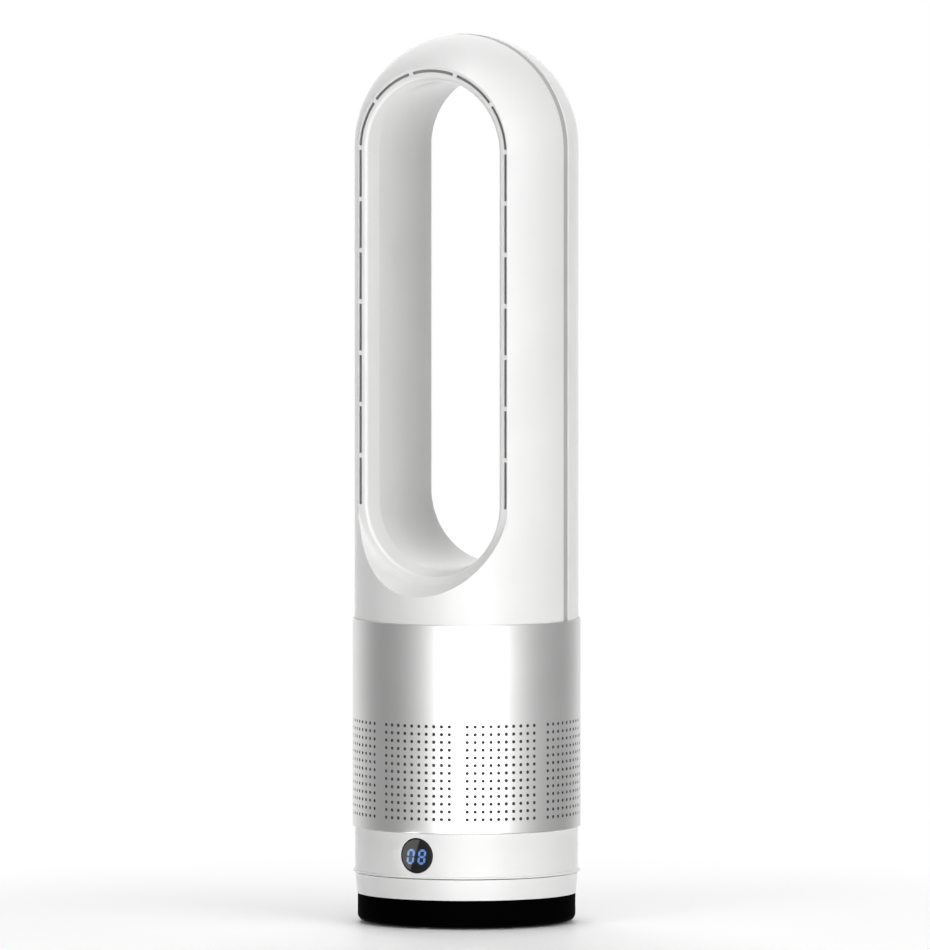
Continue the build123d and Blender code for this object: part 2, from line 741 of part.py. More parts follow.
# Air duct inside the nozzle: the column less its wall and less the loop's core.
with BuildPart() as duct_void:
    with BuildSketch(Plane.XZ):
        with BuildLine():
            void_r = NOZZLE_R - WALL
            crown = [
                (void_r * math.cos(math.radians(t)), DOME_Z + void_r * math.sin(math.radians(t)))
                for t in range(0, 91, 18)
            ]
            Polyline((0, NOZZLE_BASE_Z - 1), (void_r, NOZZLE_BASE_Z - 1), *crown, close=True)
        make_face()
    revolve(axis=Axis.Z)
    add(swept_round_loop(core_section), mode=Mode.SUBTRACT)

# Air slots in the flat front ring, broken by short bridges.
with BuildPart() as air_slots:
    with BuildSketch(Plane.XZ.offset(-FRONT_Y + 1)):
        with Locations((0, DOME_Z)):
            Circle(SLOT_R + SLOT_WIDTH / 2)
            Circle(SLOT_R - SLOT_WIDTH / 2, mode=Mode.SUBTRACT)
        with Locations((0, DOME_Z)):
            Rectangle(200, 100, align=(Align.CENTER, Align.MAX), mode=Mode.SUBTRACT)
        with Locations((-SLOT_R, DOME_Z), (SLOT_R, DOME_Z)):
            Rectangle(SLOT_WIDTH, SLOT_PITCH * SLOTS_PER_LEG, align=(Align.CENTER, Align.MAX))
        for bridge in range(SLOTS_PER_LEG + 1):
            with Locations(
                (-SLOT_R, DOME_Z - bridge * SLOT_PITCH), (SLOT_R, DOME_Z - bridge * SLOT_PITCH)
            ):
                Rectangle(SLOT_WIDTH + 2, SLOT_BRIDGE, mode=Mode.SUBTRACT)
        with Locations((0, DOME_Z)):
            with PolarLocations(SLOT_R, 2 * SLOTS_OVER_ARCH):
                Rectangle(SLOT_WIDTH + 2, SLOT_BRIDGE, mode=Mode.SUBTRACT)
    extrude(amount=-WALL - 1.8)

# The whole nozzle wall before it is parted into three mouldings.
with BuildPart() as nozzle_wall:
    with BuildSketch(Plane.XZ):
        with BuildLine():
            Polyline((0, HEIGHT), (0, NOZZLE_BASE_Z), (NOZZLE_R, NOZZLE_BASE_Z), (NOZZLE_R, DOME_Z))
            RadiusArc((NOZZLE_R, DOME_Z), (0, HEIGHT), -NOZZLE_R)
        make_face()
    revolve(axis=Axis.Z)
    add(swept_round_loop(opening_section), mode=Mode.SUBTRACT)
    add(duct_void.part, mode=Mode.SUBTRACT)
    add(air_slots.part, mode=Mode.SUBTRACT)

# Space of the front moulding: ahead of the outer parting line, and round the
# opening only as deep as the lip strip.
with BuildPart() as front_space:
    with BuildSketch(Plane.XZ.offset(-PARTING_Y)):
        with Locations((0, NOZZLE_BASE_Z - 10)):
            Rectangle(240, HEIGHT - NOZZLE_BASE_Z + 40, align=(Align.CENTER, Align.MIN))
    extrude(amount=120)
    with BuildSketch(Plane.XZ.offset(-THROAT_Y)):
        with Locations((0, LOOP_LOW_Z), (0, DOME_Z)):
            Circle(LIP_STRIP_R)
        with Locations((0, LOOP_LOW_Z)):
            Rectangle(2 * LIP_STRIP_R, DOME_Z - LOOP_LOW_Z, align=(Align.CENTER, Align.MIN))
    extrude(amount=THROAT_Y - PARTING_Y, mode=Mode.SUBTRACT)

# Space of the liner: the opening's inner wall from the lip strip to the rear, and
# the rear round as far as its crest.
with BuildPart() as liner_space:
    with BuildSketch(Plane.XZ.offset(-THROAT_Y)):
        with Locations((0, LOOP_LOW_Z), (0, DOME_Z)):
            Circle(REAR_CENTRE_R)
        with Locations((0, LOOP_LOW_Z)):
            Rectangle(2 * REAR_CENTRE_R, DOME_Z - LOOP_LOW_Z, align=(Align.CENTER, Align.MIN))
    extrude(amount=THROAT_Y - REAR_CENTRE_Y - REAR_ROUND - 1)

# Front shell: the slotted face ring, the recess and the outer wall to the seam.
with BuildPart() as nozzle_front_shell:
    add(nozzle_wall.part)
    add(front_space.part, mode=Mode.INTERSECT)
nozzle_front_shell.part.label = "nozzle_front_shell"
export_step(nozzle_front_shell.part, "parts/nozzle_front_shell.step")

# Loop liner: the long inner wall that the air is drawn over, rolled at the rear.
with BuildPart() as loop_liner:
    add(nozzle_wall.part)
    add(liner_space.part, mode=Mode.INTERSECT)
loop_liner.part.label = "loop_liner"
export_step(loop_liner.part, "parts/loop_liner.step")

# Rear shell: the rest of the outer wall, from the seam to the rolled rear edge.
with BuildPart() as nozzle_rear_shell:
    add(nozzle_wall.part)
    add(front_space.part, mode=Mode.SUBTRACT)
    add(liner_space.part, mode=Mode.SUBTRACT)
nozzle_rear_shell.part.label = "nozzle_rear_shell"
export_step(nozzle_rear_shell.part, "parts/nozzle_rear_shell.step")
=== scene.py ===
"""Bladeless tower fan: the visual model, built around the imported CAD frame.

Everything is in metres in the row frame: +Z up, origin on the floor at the
middle of the foot, display and air slots toward -Y.
"""

import logging
import math
from collections.abc import Callable, Iterable, Mapping, Sequence
from dataclasses import dataclass, field
from enum import Enum
from itertools import pairwise, takewhile

import bmesh
import bpy
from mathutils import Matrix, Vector


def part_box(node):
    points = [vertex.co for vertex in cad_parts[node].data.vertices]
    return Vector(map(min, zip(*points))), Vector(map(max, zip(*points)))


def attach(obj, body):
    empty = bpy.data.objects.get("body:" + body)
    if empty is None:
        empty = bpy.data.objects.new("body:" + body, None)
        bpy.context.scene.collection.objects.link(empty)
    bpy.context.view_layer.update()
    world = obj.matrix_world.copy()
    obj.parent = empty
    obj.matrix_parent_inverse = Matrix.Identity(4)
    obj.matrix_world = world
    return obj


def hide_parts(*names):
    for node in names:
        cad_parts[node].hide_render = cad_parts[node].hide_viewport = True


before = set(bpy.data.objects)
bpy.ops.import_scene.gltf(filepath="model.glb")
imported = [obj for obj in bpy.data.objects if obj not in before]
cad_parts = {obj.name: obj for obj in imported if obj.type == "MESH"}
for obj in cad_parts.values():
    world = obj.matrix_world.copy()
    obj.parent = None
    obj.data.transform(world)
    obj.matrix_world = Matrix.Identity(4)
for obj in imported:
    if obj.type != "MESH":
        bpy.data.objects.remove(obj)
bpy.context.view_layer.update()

LOG = logging.getLogger("tower_fan")
MM = 0.001
WELD = 1e-6
TINY = 1e-9
FULL_TURN = 2 * math.pi
QUARTER_TURN = math.pi / 2
CREASE_DEGREES = 32.0
DISPLAY_HEIGHT = 66.8 * MM
LENS_RADIUS = 16.0 * MM
GLAND_HEIGHT = 14.0 * MM
GLAND_RADIUS = 6.0 * MM
WHITE = (1.0, 1.0, 1.0, 1.0)

Point = tuple[float, float, float]
Color = tuple[float, float, float]
Flat = tuple[float, float]
Turn = Callable[[float, float, float], Point]
Socket = bpy.types.NodeSocket


class Body(Enum):
    """The rigid bodies that pieces ride on."""

    BASE = "base"
    COLUMN = "column"
    BUTTON = "button"


class Slot(Enum):
    """The record's material slots."""

    WHITE = "white_shell"
    BUTTON = "button_white"
    BLACK = "black_foot"
    SILVER = "silver_sleeve"
    WINDOW = "smoked_window"
    MODULE = "module_black"
    BOARD = "circuit_board"
    INNER = "inner_plastic"
    NATURAL = "natural_plastic"
    FEET = "feet_rubber"
    GLAND = "gland_rubber"
    DAMPER = "damper_rubber"
    STEEL = "steel"
    MOTOR = "motor_steel"


# ------------------------------------------------------------------ node tools
class NodeDesk:
    """Adds and wires nodes in one node tree."""

    def __init__(self, tree: bpy.types.NodeTree) -> None:
        """Starts work on a material's, world's or group's node tree."""
        self.tree = tree

    def feed(self, node: bpy.types.Node, inputs: Mapping[str | int, object]) -> None:
        """Gives inputs of a node a constant or a wire.

        Args:
            node: the node.
            inputs: for each input, a number, a colour or the socket to wire.
        """
        for name, value in inputs.items():
            if isinstance(value, Socket):
                self.tree.links.new(value, node.inputs[name])
            else:
                node.inputs[name].default_value = value

    def add(
        self, kind: str, inputs: Mapping[str | int, object] | None = None, **settings: object
    ) -> bpy.types.Node:
        """Adds a node.

        Args:
            kind: the node's type name.
            inputs: for each input, a number, a colour or the socket to wire.
            settings: node properties by name.

        Returns:
            The new node.
        """
        node = self.tree.nodes.new(kind)
        for name, value in settings.items():
            setattr(node, name, value)
        self.feed(node, inputs or {})
        return node

    def maths(self, operation: str, first: Socket | float, second: Socket | float) -> Socket:
        """Adds a Math node with two inputs and returns its result."""
        return self.add("ShaderNodeMath", {0: first, 1: second}, operation=operation).outputs[0]

    def vectors(self, operation: str, *values: Socket | Point) -> bpy.types.Node:
        """Adds a Vector Math node, fed in order, and returns it."""
        return self.add("ShaderNodeVectorMath", dict(enumerate(values)), operation=operation)

    def noise(self, **inputs: Socket | float) -> Socket:
        """Adds noise over the piece's own coordinates and returns its value."""
        place = self.add("ShaderNodeTexCoord").outputs["Object"]
        return self.add("ShaderNodeTexNoise", {"Vector": place, **inputs}).outputs["Fac"]

    def blend(self, first: Color, second: Color, share: Socket) -> Socket:
        """Mixes two colours by the share of the second and returns the mix."""
        inputs = {"A": (*first, 1.0), "B": (*second, 1.0), "Factor": share}
        return self.add("ShaderNodeMix", inputs, data_type="RGBA").outputs["Result"]

    def mix(self, first: Socket, second: Socket, share: Socket) -> Socket:
        """Mixes two shaders by the share of the second and returns the mix."""
        return self.add("ShaderNodeMixShader", {"Fac": share, 1: first, 2: second}).outputs[0]

    def remap(self, value: Socket, low: float, high: float, out_low: float, out_high: float) -> Socket:
        """Maps a value from one range to another, clamped.

        Args:
            value: the socket to map.
            low: the input that gives out_low.
            high: the input that gives out_high.
            out_low: the result at low.
            out_high: the result at high.

        Returns:
            The mapped socket.
        """
        ends = {"From Min": low, "From Max": high, "To Min": out_low, "To Max": out_high}
        node = self.add("ShaderNodeMapRange", {"Value": value, **ends}, interpolation_type="SMOOTHSTEP")
        return node.outputs["Result"]


def make_group(
    name: str, inputs: Mapping[str, float], outputs: Sequence[str]
) -> tuple[NodeDesk, bpy.types.Node, bpy.types.Node]:
    """Starts a shader node group whose inputs and outputs are numbers.

    Args:
        name: the group's name.
        inputs: the default of each input.
        outputs: the name of each output.

    Returns:
        A desk on the group, its input node and its output node.
    """
    group = bpy.data.node_groups.new(name, "ShaderNodeTree")
    for label, default in inputs.items():
        socket = group.interface.new_socket(label, in_out="INPUT", socket_type="NodeSocketFloat")
        socket.default_value = default
    for label in outputs:
        group.interface.new_socket(label, in_out="OUTPUT", socket_type="NodeSocketFloat")
    desk = NodeDesk(group)
    return desk, desk.add("NodeGroupInput"), desk.add("NodeGroupOutput")


def start_material(name: str) -> tuple[bpy.types.Material, NodeDesk, bpy.types.Node]:
    """Starts a material.

    Args:
        name: the material's name.

    Returns:
        The material, a desk on its nodes and its Principled shader.
    """
    material = bpy.data.materials.new(name)
    material.use_nodes = True
    return material, NodeDesk(material.node_tree), material.node_tree.nodes["Principled BSDF"]


class Effects:
    """The shared surface effects, each built once as a shader node group."""

    GRAIN_DETAIL = 3.0
    GRAIN_SHARE = 0.7
    FLOW_DETAIL = 1.0
    FLOW_SHARE = 0.3
    SMEAR_DETAIL = 4.0
    SMEAR_DISTORTION = 0.6

    def __init__(self) -> None:
        """Builds every shared effect."""
        self.moulded_skin = self._moulded_skin()
        self.handling = self._handling()

    def _moulded_skin(self) -> bpy.types.NodeTree:
        """The faint flow and orange peel of a moulded surface.

        Returns:
            A group with a Height for a Bump node and a Tone mask.
        """
        desk, given, result = make_group(
            "moulded_skin", {"Grain Scale": 900.0, "Flow Scale": 14.0}, ["Height", "Tone"]
        )
        grain = desk.noise(Scale=given.outputs["Grain Scale"], Detail=self.GRAIN_DETAIL)
        flow = desk.noise(Scale=given.outputs["Flow Scale"], Detail=self.FLOW_DETAIL)
        peel = desk.maths("MULTIPLY", grain, self.GRAIN_SHARE)
        height = desk.maths("ADD", peel, desk.maths("MULTIPLY", flow, self.FLOW_SHARE))
        desk.feed(result, {"Height": height, "Tone": flow})
        return desk.tree

    def _handling(self) -> bpy.types.NodeTree:
        """Uneven sheen from dust and handling.

        Returns:
            A group that turns a mean roughness into a varied one.
        """
        desk, given, result = make_group(
            "handling", {"Roughness": 0.3, "Spread": 0.05, "Scale": 22.0}, ["Roughness"]
        )
        wave = {"Detail": self.SMEAR_DETAIL, "Distortion": self.SMEAR_DISTORTION}
        smear = desk.noise(Scale=given.outputs["Scale"], **wave)
        swing = desk.maths("MULTIPLY", desk.maths("SUBTRACT", smear, 0.5), given.outputs["Spread"])
        desk.feed(result, {"Roughness": desk.maths("ADD", given.outputs["Roughness"], swing)})
        return desk.tree


# ------------------------------------------------------------------- finishes
@dataclass(frozen=True)
class Finish:
    """A moulded, painted or metal surface.

    Each field is the value of that property on the Principled shader, or of the
    shared effect that varies it over the surface. The base color goes from shade
    to color as the skin's tone crosses tone_span.
    """

    name: str
    color: Color
    shade: Color
    roughness: float
    spread: float = 0.05
    metallic: float = 0.0
    grain_scale: float = 900.0
    bump: float = 0.02
    bump_depth: float = 0.2 * MM
    coat: float = 0.0
    coat_roughness: float = 0.08
    specular: float = 0.5
    ior: float = 1.46
    tone_span: Flat = (0.35, 0.6)

    def make(self, effects: Effects) -> bpy.types.Material:
        """Builds the material.

        Args:
            effects: the shared node groups.

        Returns:
            The material.
        """
        material, desk, shader = start_material(self.name)
        grain = {"Grain Scale": self.grain_scale}
        skin = desk.add("ShaderNodeGroup", grain, node_tree=effects.moulded_skin)
        sheen = {"Roughness": self.roughness, "Spread": self.spread}
        wear = desk.add("ShaderNodeGroup", sheen, node_tree=effects.handling)
        tone = desk.remap(skin.outputs["Tone"], *self.tone_span, 0.0, 1.0)
        relief = {"Strength": self.bump, "Distance": self.bump_depth, "Height": skin.outputs["Height"]}
        surface = {
            "Base Color": desk.blend(self.shade, self.color, tone),
            "Roughness": wear.outputs["Roughness"],
            "Normal": desk.add("ShaderNodeBump", relief).outputs["Normal"],
            "Metallic": self.metallic,
            "Coat Weight": self.coat,
            "Coat Roughness": self.coat_roughness,
            "Specular IOR Level": self.specular,
            "IOR": self.ior,
        }
        desk.feed(shader, surface)
        return material


@dataclass(frozen=True)
class SmokedLens:
    """The polished, nearly black lens, with a faint blue glow behind the digits."""

    name: str = "smoked-lens"
    color: Color = (0.006, 0.006, 0.006)
    glow: Color = (0.004, 0.012, 0.045)
    glow_width: float = 11.5 * MM
    glow_height: float = 9.0 * MM
    halo_span: Flat = (0.35, 1.0)
    ior: float = 1.33
    polish_scale: float = 60.0
    polish_span: Flat = (0.3, 0.7)
    roughness_span: Flat = (0.05, 0.09)

    def make(self, centre: Point) -> bpy.types.Material:
        """Builds the material.

        Args:
            centre: the middle of the digits, in the row frame.

        Returns:
            The material.
        """
        material, desk, shader = start_material(self.name)
        offset = desk.vectors("SUBTRACT", desk.add("ShaderNodeTexCoord").outputs["Object"], centre)
        spans = (1 / self.glow_width, 0.0, 1 / self.glow_height)
        reach = desk.vectors("LENGTH", desk.vectors("MULTIPLY", offset.outputs[0], spans).outputs[0])
        halo = desk.remap(reach.outputs["Value"], *self.halo_span, 1.0, 0.0)
        polish = desk.noise(Scale=self.polish_scale)
        surface = {
            "Base Color": (*self.color, 1.0),
            "IOR": self.ior,
            "Emission Color": desk.blend((0.0, 0.0, 0.0), self.glow, halo),
            "Emission Strength": 1.0,
            "Roughness": desk.remap(polish, *self.polish_span, *self.roughness_span),
        }
        desk.feed(shader, surface)
        return material


@dataclass(frozen=True)
class LitSegment:
    """A lit display segment, a little uneven in its light."""

    name: str = "lit-segment"
    core: Color = (0.105, 0.25, 0.60)
    rim: Color = (0.075, 0.175, 0.45)
    body: Color = (0.02, 0.03, 0.05)
    roughness: float = 0.3
    cloud_scale: float = 260.0
    cloud_span: Flat = (0.3, 0.65)

    def make(self) -> bpy.types.Material:
        """Builds the material.

        Returns:
            The material.
        """
        material, desk, shader = start_material(self.name)
        cloud = desk.remap(desk.noise(Scale=self.cloud_scale), *self.cloud_span, 0.0, 1.0)
        surface = {
            "Base Color": (*self.body, 1.0),
            "Roughness": self.roughness,
            "Emission Color": desk.blend(self.rim, self.core, cloud),
            "Emission Strength": 1.0,
        }
        desk.feed(shader, surface)
        return material


FINISHES = {
    Slot.WHITE: Finish(
        "white-moulding", (0.82, 0.82, 0.815), (0.80, 0.80, 0.795), 0.42, coat=0.5, specular=1.0
    ),
    Slot.BUTTON: Finish("button-moulding", (0.79, 0.79, 0.785), (0.77, 0.77, 0.765), 0.34),
    Slot.BLACK: Finish(
        "black-moulding",
        (0.0008, 0.0008, 0.0009),
        (0.0005, 0.0005, 0.0005),
        0.6,
        specular=0.02,
        ior=1.15,
    ),
    Slot.SILVER: Finish(
        "satin-silver", (0.80, 0.80, 0.795), (0.77, 0.77, 0.765), 0.30, 0.03, 1.0, 2600.0, 0.05
    ),
    Slot.MODULE: Finish("module-black", (0.02, 0.02, 0.02), (0.015, 0.015, 0.015), 0.5),
    Slot.BOARD: Finish("board-green", (0.02, 0.15, 0.06), (0.015, 0.1, 0.04), 0.4, coat=0.3),
    Slot.INNER: Finish("inner-moulding", (0.06, 0.06, 0.062), (0.05, 0.05, 0.052), 0.6, bump=0.06),
    Slot.NATURAL: Finish("bearing-plastic", (0.78, 0.76, 0.7), (0.74, 0.72, 0.66), 0.45),
    Slot.FEET: Finish("foot-rubber", (0.022, 0.022, 0.022), (0.015, 0.015, 0.015), 0.8, 0.1, bump=0.2),
    Slot.GLAND: Finish("gland-rubber", (0.016, 0.016, 0.016), (0.01, 0.01, 0.01), 0.7, 0.1, bump=0.15),
    Slot.DAMPER: Finish("damper-rubber", (0.03, 0.03, 0.03), (0.02, 0.02, 0.02), 0.8, 0.1, bump=0.2),
    Slot.STEEL: Finish("bright-steel", (0.6, 0.6, 0.61), (0.5, 0.5, 0.51), 0.28, 0.12, 1.0, 1800.0, 0.08),
    Slot.MOTOR: Finish("plated-can", (0.55, 0.55, 0.54), (0.47, 0.47, 0.46), 0.35, 0.12, 1.0, 1500.0, 0.06),
}
# Mid grey of the strip in the seam's groove: painted shade that darkens the seam line between the
# mouldings.
PAINTED_SEAM_SHADE = Finish("seam-gasket", (0.44, 0.44, 0.435), (0.42, 0.42, 0.415), 0.5)
# Grey of the air guide behind the slots: painted shade standing for the dark inside the slots.
GUIDE_SHADE = Finish("guide-painted-shade", (0.36, 0.36, 0.36), (0.34, 0.34, 0.34), 0.6)
NET = Finish("dust-net", (0.07, 0.07, 0.07), (0.05, 0.05, 0.05), 0.8, bump=0.3)


class Palette:
    """Every finish of the fan, made once."""

    def __init__(self) -> None:
        """Builds the shared effects and the finishes."""
        effects = Effects()
        self.by_slot = {slot: finish.make(effects) for slot, finish in FINISHES.items()}
        self.gasket, self.guide, self.net = (trim.make(effects) for trim in (PAINTED_SEAM_SHADE, GUIDE_SHADE, NET))


def dress(piece: bpy.types.Object, material: bpy.types.Material) -> None:
    """Gives a piece a material in place of any that it has."""
    piece.data.materials.clear()
    piece.data.materials.append(material)


# ----------------------------------------------------------------- mesh tools
class MeshDraft:
    """Points and faces gathered for one piece, welded when it is made."""

    def __init__(self) -> None:
        """Starts an empty draft."""
        self.points: list[Point] = []
        self.faces: list[tuple[int, ...]] = []

    def polygon(self, corners: Iterable[Point]) -> None:
        """Adds one face with its own corners.

        Args:
            corners: the corners in order.
        """
        start = len(self.points)
        self.points.extend(corners)
        self.faces.append(tuple(range(start, len(self.points))))

    def grid(self, rows: Sequence[Sequence[Point]], closed: bool = False) -> None:
        """Adds the quads between rows of equal length.

        Args:
            rows: the rows of points.
            closed: whether each row joins its own start.
        """
        width = len(rows[0])
        start = len(self.points)
        for row in rows:
            self.points.extend(row)
        for i in range(len(rows) - 1):
            low = start + i * width
            high = low + width
            for j in range(width if closed else width - 1):
                k = (j + 1) % width
                self.faces.append((low + j, low + k, high + k, high + j))

    def bar(self, rows: Sequence[Sequence[Point]]) -> None:
        """Adds a closed bar: the quads round its rows and a face at each end.

        Args:
            rows: the bar's sections.
        """
        self.grid(rows, closed=True)
        self.polygon(rows[0])
        self.polygon(rows[-1])

    def make(self, name: str, crease_degrees: float = CREASE_DEGREES) -> bpy.types.Object:
        """Welds the draft into an object with smooth faces and sharp creases.

        Args:
            name: the piece's name.
            crease_degrees: edges that turn more than this stay sharp.

        Returns:
            The mesh object, linked to the scene.
        """
        mesh = bpy.data.meshes.new(name)
        mesh.from_pydata(self.points, [], self.faces)
        work = bmesh.new()
        work.from_mesh(mesh)
        bmesh.ops.remove_doubles(work, verts=work.verts, dist=WELD)
        bmesh.ops.dissolve_degenerate(work, dist=WELD, edges=work.edges)
        bmesh.ops.recalc_face_normals(work, faces=work.faces)
        work.to_mesh(mesh)
        work.free()
        shade(mesh, crease_degrees)
        piece = bpy.data.objects.new(name, mesh)
        bpy.context.scene.collection.objects.link(piece)
        return piece


def shade(mesh: bpy.types.Mesh, crease_degrees: float) -> None:
    """Shades a mesh smooth, with sharp edges where it turns more than an angle."""
    mesh.polygons.foreach_set("use_smooth", [True] * len(mesh.polygons))
    mesh.set_sharp_from_angle(angle=math.radians(crease_degrees))


def apply_modifiers(piece: bpy.types.Object) -> None:
    """Turns a piece's modifiers into its own mesh.

    Args:
        piece: the object.
    """
    graph = bpy.context.evaluated_depsgraph_get()
    made = bpy.data.meshes.new_from_object(piece.evaluated_get(graph))
    piece.modifiers.clear()
    piece.data = made
    shade(made, CREASE_DEGREES)


def spread(start: float, end: float, steps: int) -> list[float]:
    """Evenly spaced values from start to end, both included."""
    return [start + (end - start) * n / steps for n in range(steps + 1)]


def straight(start: Flat, end: Flat, steps: int) -> list[Flat]:
    """Evenly spaced points from start to end, both included."""
    return list(zip(spread(start[0], end[0], steps), spread(start[1], end[1], steps)))


def quarter(radius: float, steps: int) -> list[Flat]:
    """A quarter round, as how far each point lies in from its two sides."""
    turns = spread(0.0, QUARTER_TURN, steps)
    return [(radius * (1 - math.sin(turn)), radius * (1 - math.cos(turn))) for turn in turns]


def polar(radius: float, angle: float) -> Flat:
    """A flat point from its radius and angle."""
    return radius * math.cos(angle), radius * math.sin(angle)


def about_z(radius: float, height: float, angle: float) -> Point:
    """A point on a turn about the fan's own axis."""
    return radius * math.cos(angle), radius * math.sin(angle), height


def about_post(x: float, y: float) -> Turn:
    """A turn about an upright axis.

    Args:
        x: the axis's place.
        y: the axis's place.

    Returns:
        A function that gives a point from radius, height and angle.
    """

    def place(radius: float, height: float, angle: float) -> Point:
        """A point on the turn."""
        return x + radius * math.cos(angle), y + radius * math.sin(angle), height

    return place


def about_y(level: float, side: int = 1) -> Turn:
    """A turn about an axis that runs from front to rear.

    Args:
        level: the axis's height.
        side: 1 where depths count toward the rear, -1 where they count toward the front.

    Returns:
        A function that gives a point from radius, depth and angle.
    """

    def place(radius: float, depth: float, angle: float) -> Point:
        """A point on the turn."""
        return radius * math.cos(angle), side * depth, level + radius * math.sin(angle)

    return place


def rounded_outline(corners: Sequence[Point], steps: int = 6) -> list[Flat]:
    """A closed outline with its corners rounded.

    Args:
        corners: (x, y, corner radius) of each corner, in order.
        steps: divisions of each round.

    Returns:
        The outline's points.
    """
    points: list[Flat] = []
    count = len(corners)
    for n, (x, y, radius) in enumerate(corners):
        if radius <= 0:
            points.append((x, y))
            continue
        here = Vector((x, y))
        back = (Vector(corners[n - 1][:2]) - here).normalized()
        ahead = (Vector(corners[(n + 1) % count][:2]) - here).normalized()
        half = back.angle(ahead) / 2
        middle = here + (back + ahead).normalized() * (radius / math.sin(half))
        start = here + back * (radius / math.tan(half)) - middle
        end = here + ahead * (radius / math.tan(half)) - middle
        sweep = math.atan2(start.x * end.y - start.y * end.x, start.dot(end))
        for turn in spread(0.0, sweep, steps):
            cos_turn, sin_turn = math.cos(turn), math.sin(turn)
            u = middle.x + start.x * cos_turn - start.y * sin_turn
            points.append((u, middle.y + start.x * sin_turn + start.y * cos_turn))
    return points


def swept(profile: Iterable[Flat], angles: Sequence[float], place: Turn = about_z) -> list[list[Point]]:
    """Rows of points for a profile carried round a turn.

    Args:
        profile: (radius, height) points.
        angles: the angles that it is carried to.
        place: the turn's axis.

    Returns:
        One row of points for each profile point.
    """
    return [[place(radius, height, angle) for angle in angles] for radius, height in profile]


def turned(name: str, profile: Sequence[Flat], steps: int, place: Turn = about_z) -> bpy.types.Object:
    """A piece turned from a profile as it stands.

    Args:
        name: the piece's name.
        profile: (radius, height) points.
        steps: divisions round the turn.
        place: the turn's axis.

    Returns:
        The piece.
    """
    draft = MeshDraft()
    draft.grid(swept(profile, spread(0.0, FULL_TURN, steps)[:-1], place), closed=True)
    return draft.make(name)


def lathe(
    name: str, corners: Sequence[Point], steps: int = 256, place: Turn = about_z
) -> bpy.types.Object:
    """A closed turned piece from its outline.

    Args:
        name: the piece's name.
        corners: (radius, height, corner radius) round the outline.
        steps: divisions round the turn.
        place: the turn's axis.

    Returns:
        The piece.
    """
    outline = rounded_outline(corners)
    return turned(name, [*outline, outline[0]], steps, place)


def drill(name: str, radius: float, ends: Flat, steps: int, place: Turn) -> bpy.types.Object:
    """A round cutter between two places on its axis."""
    start, end = ends
    return turned(name, [(0.0, start), (radius, start), (radius, end), (0.0, end)], steps, place)


def cut_with(piece: bpy.types.Object, cutters: Sequence[bpy.types.Object]) -> None:
    """Cuts pieces out of a piece and removes the cutters.

    Args:
        piece: what is cut.
        cutters: closed meshes to take away.
    """
    for cutter in cutters:
        cut = piece.modifiers.new("cut", "BOOLEAN")
        cut.operation = "DIFFERENCE"
        cut.solver = "EXACT"
        cut.object = cutter
    apply_modifiers(piece)
    for cutter in cutters:
        bpy.data.objects.remove(cutter)


def ease_edges(piece: bpy.types.Object, width: float, **limits: object) -> None:
    """Rounds a piece's sharp edges.

    Args:
        piece: the object.
        width: the width of the round.
        limits: modifier properties that choose the edges.
    """
    bevel = piece.modifiers.new("edges", "BEVEL")
    bevel.width = width
    bevel.segments = 2
    bevel.harden_normals = True
    for name, value in limits.items():
        setattr(bevel, name, value)


def seat(
    piece: bpy.types.Object,
    body: Body,
    slot: Slot,
    finish: Palette | bpy.types.Material,
    stands_for: Sequence[str] = (),
) -> None:
    """Dresses a piece, hangs it on its body and hides the CAD nodes it stands for.

    Args:
        piece: the new piece.
        body: the body it moves with.
        slot: the record's slot whose finish the palette gives; not read with a finish of its own.
        finish: the palette to take the slot's finish from, or a finish of its own.
        stands_for: CAD nodes that it replaces.
    """
    dress(piece, finish.by_slot[slot] if isinstance(finish, Palette) else finish)
    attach(piece, body.value)
    if stands_for:
        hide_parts(*stands_for)
    LOG.info("%s: %d faces on %s", piece.name, len(piece.data.polygons), body.value)


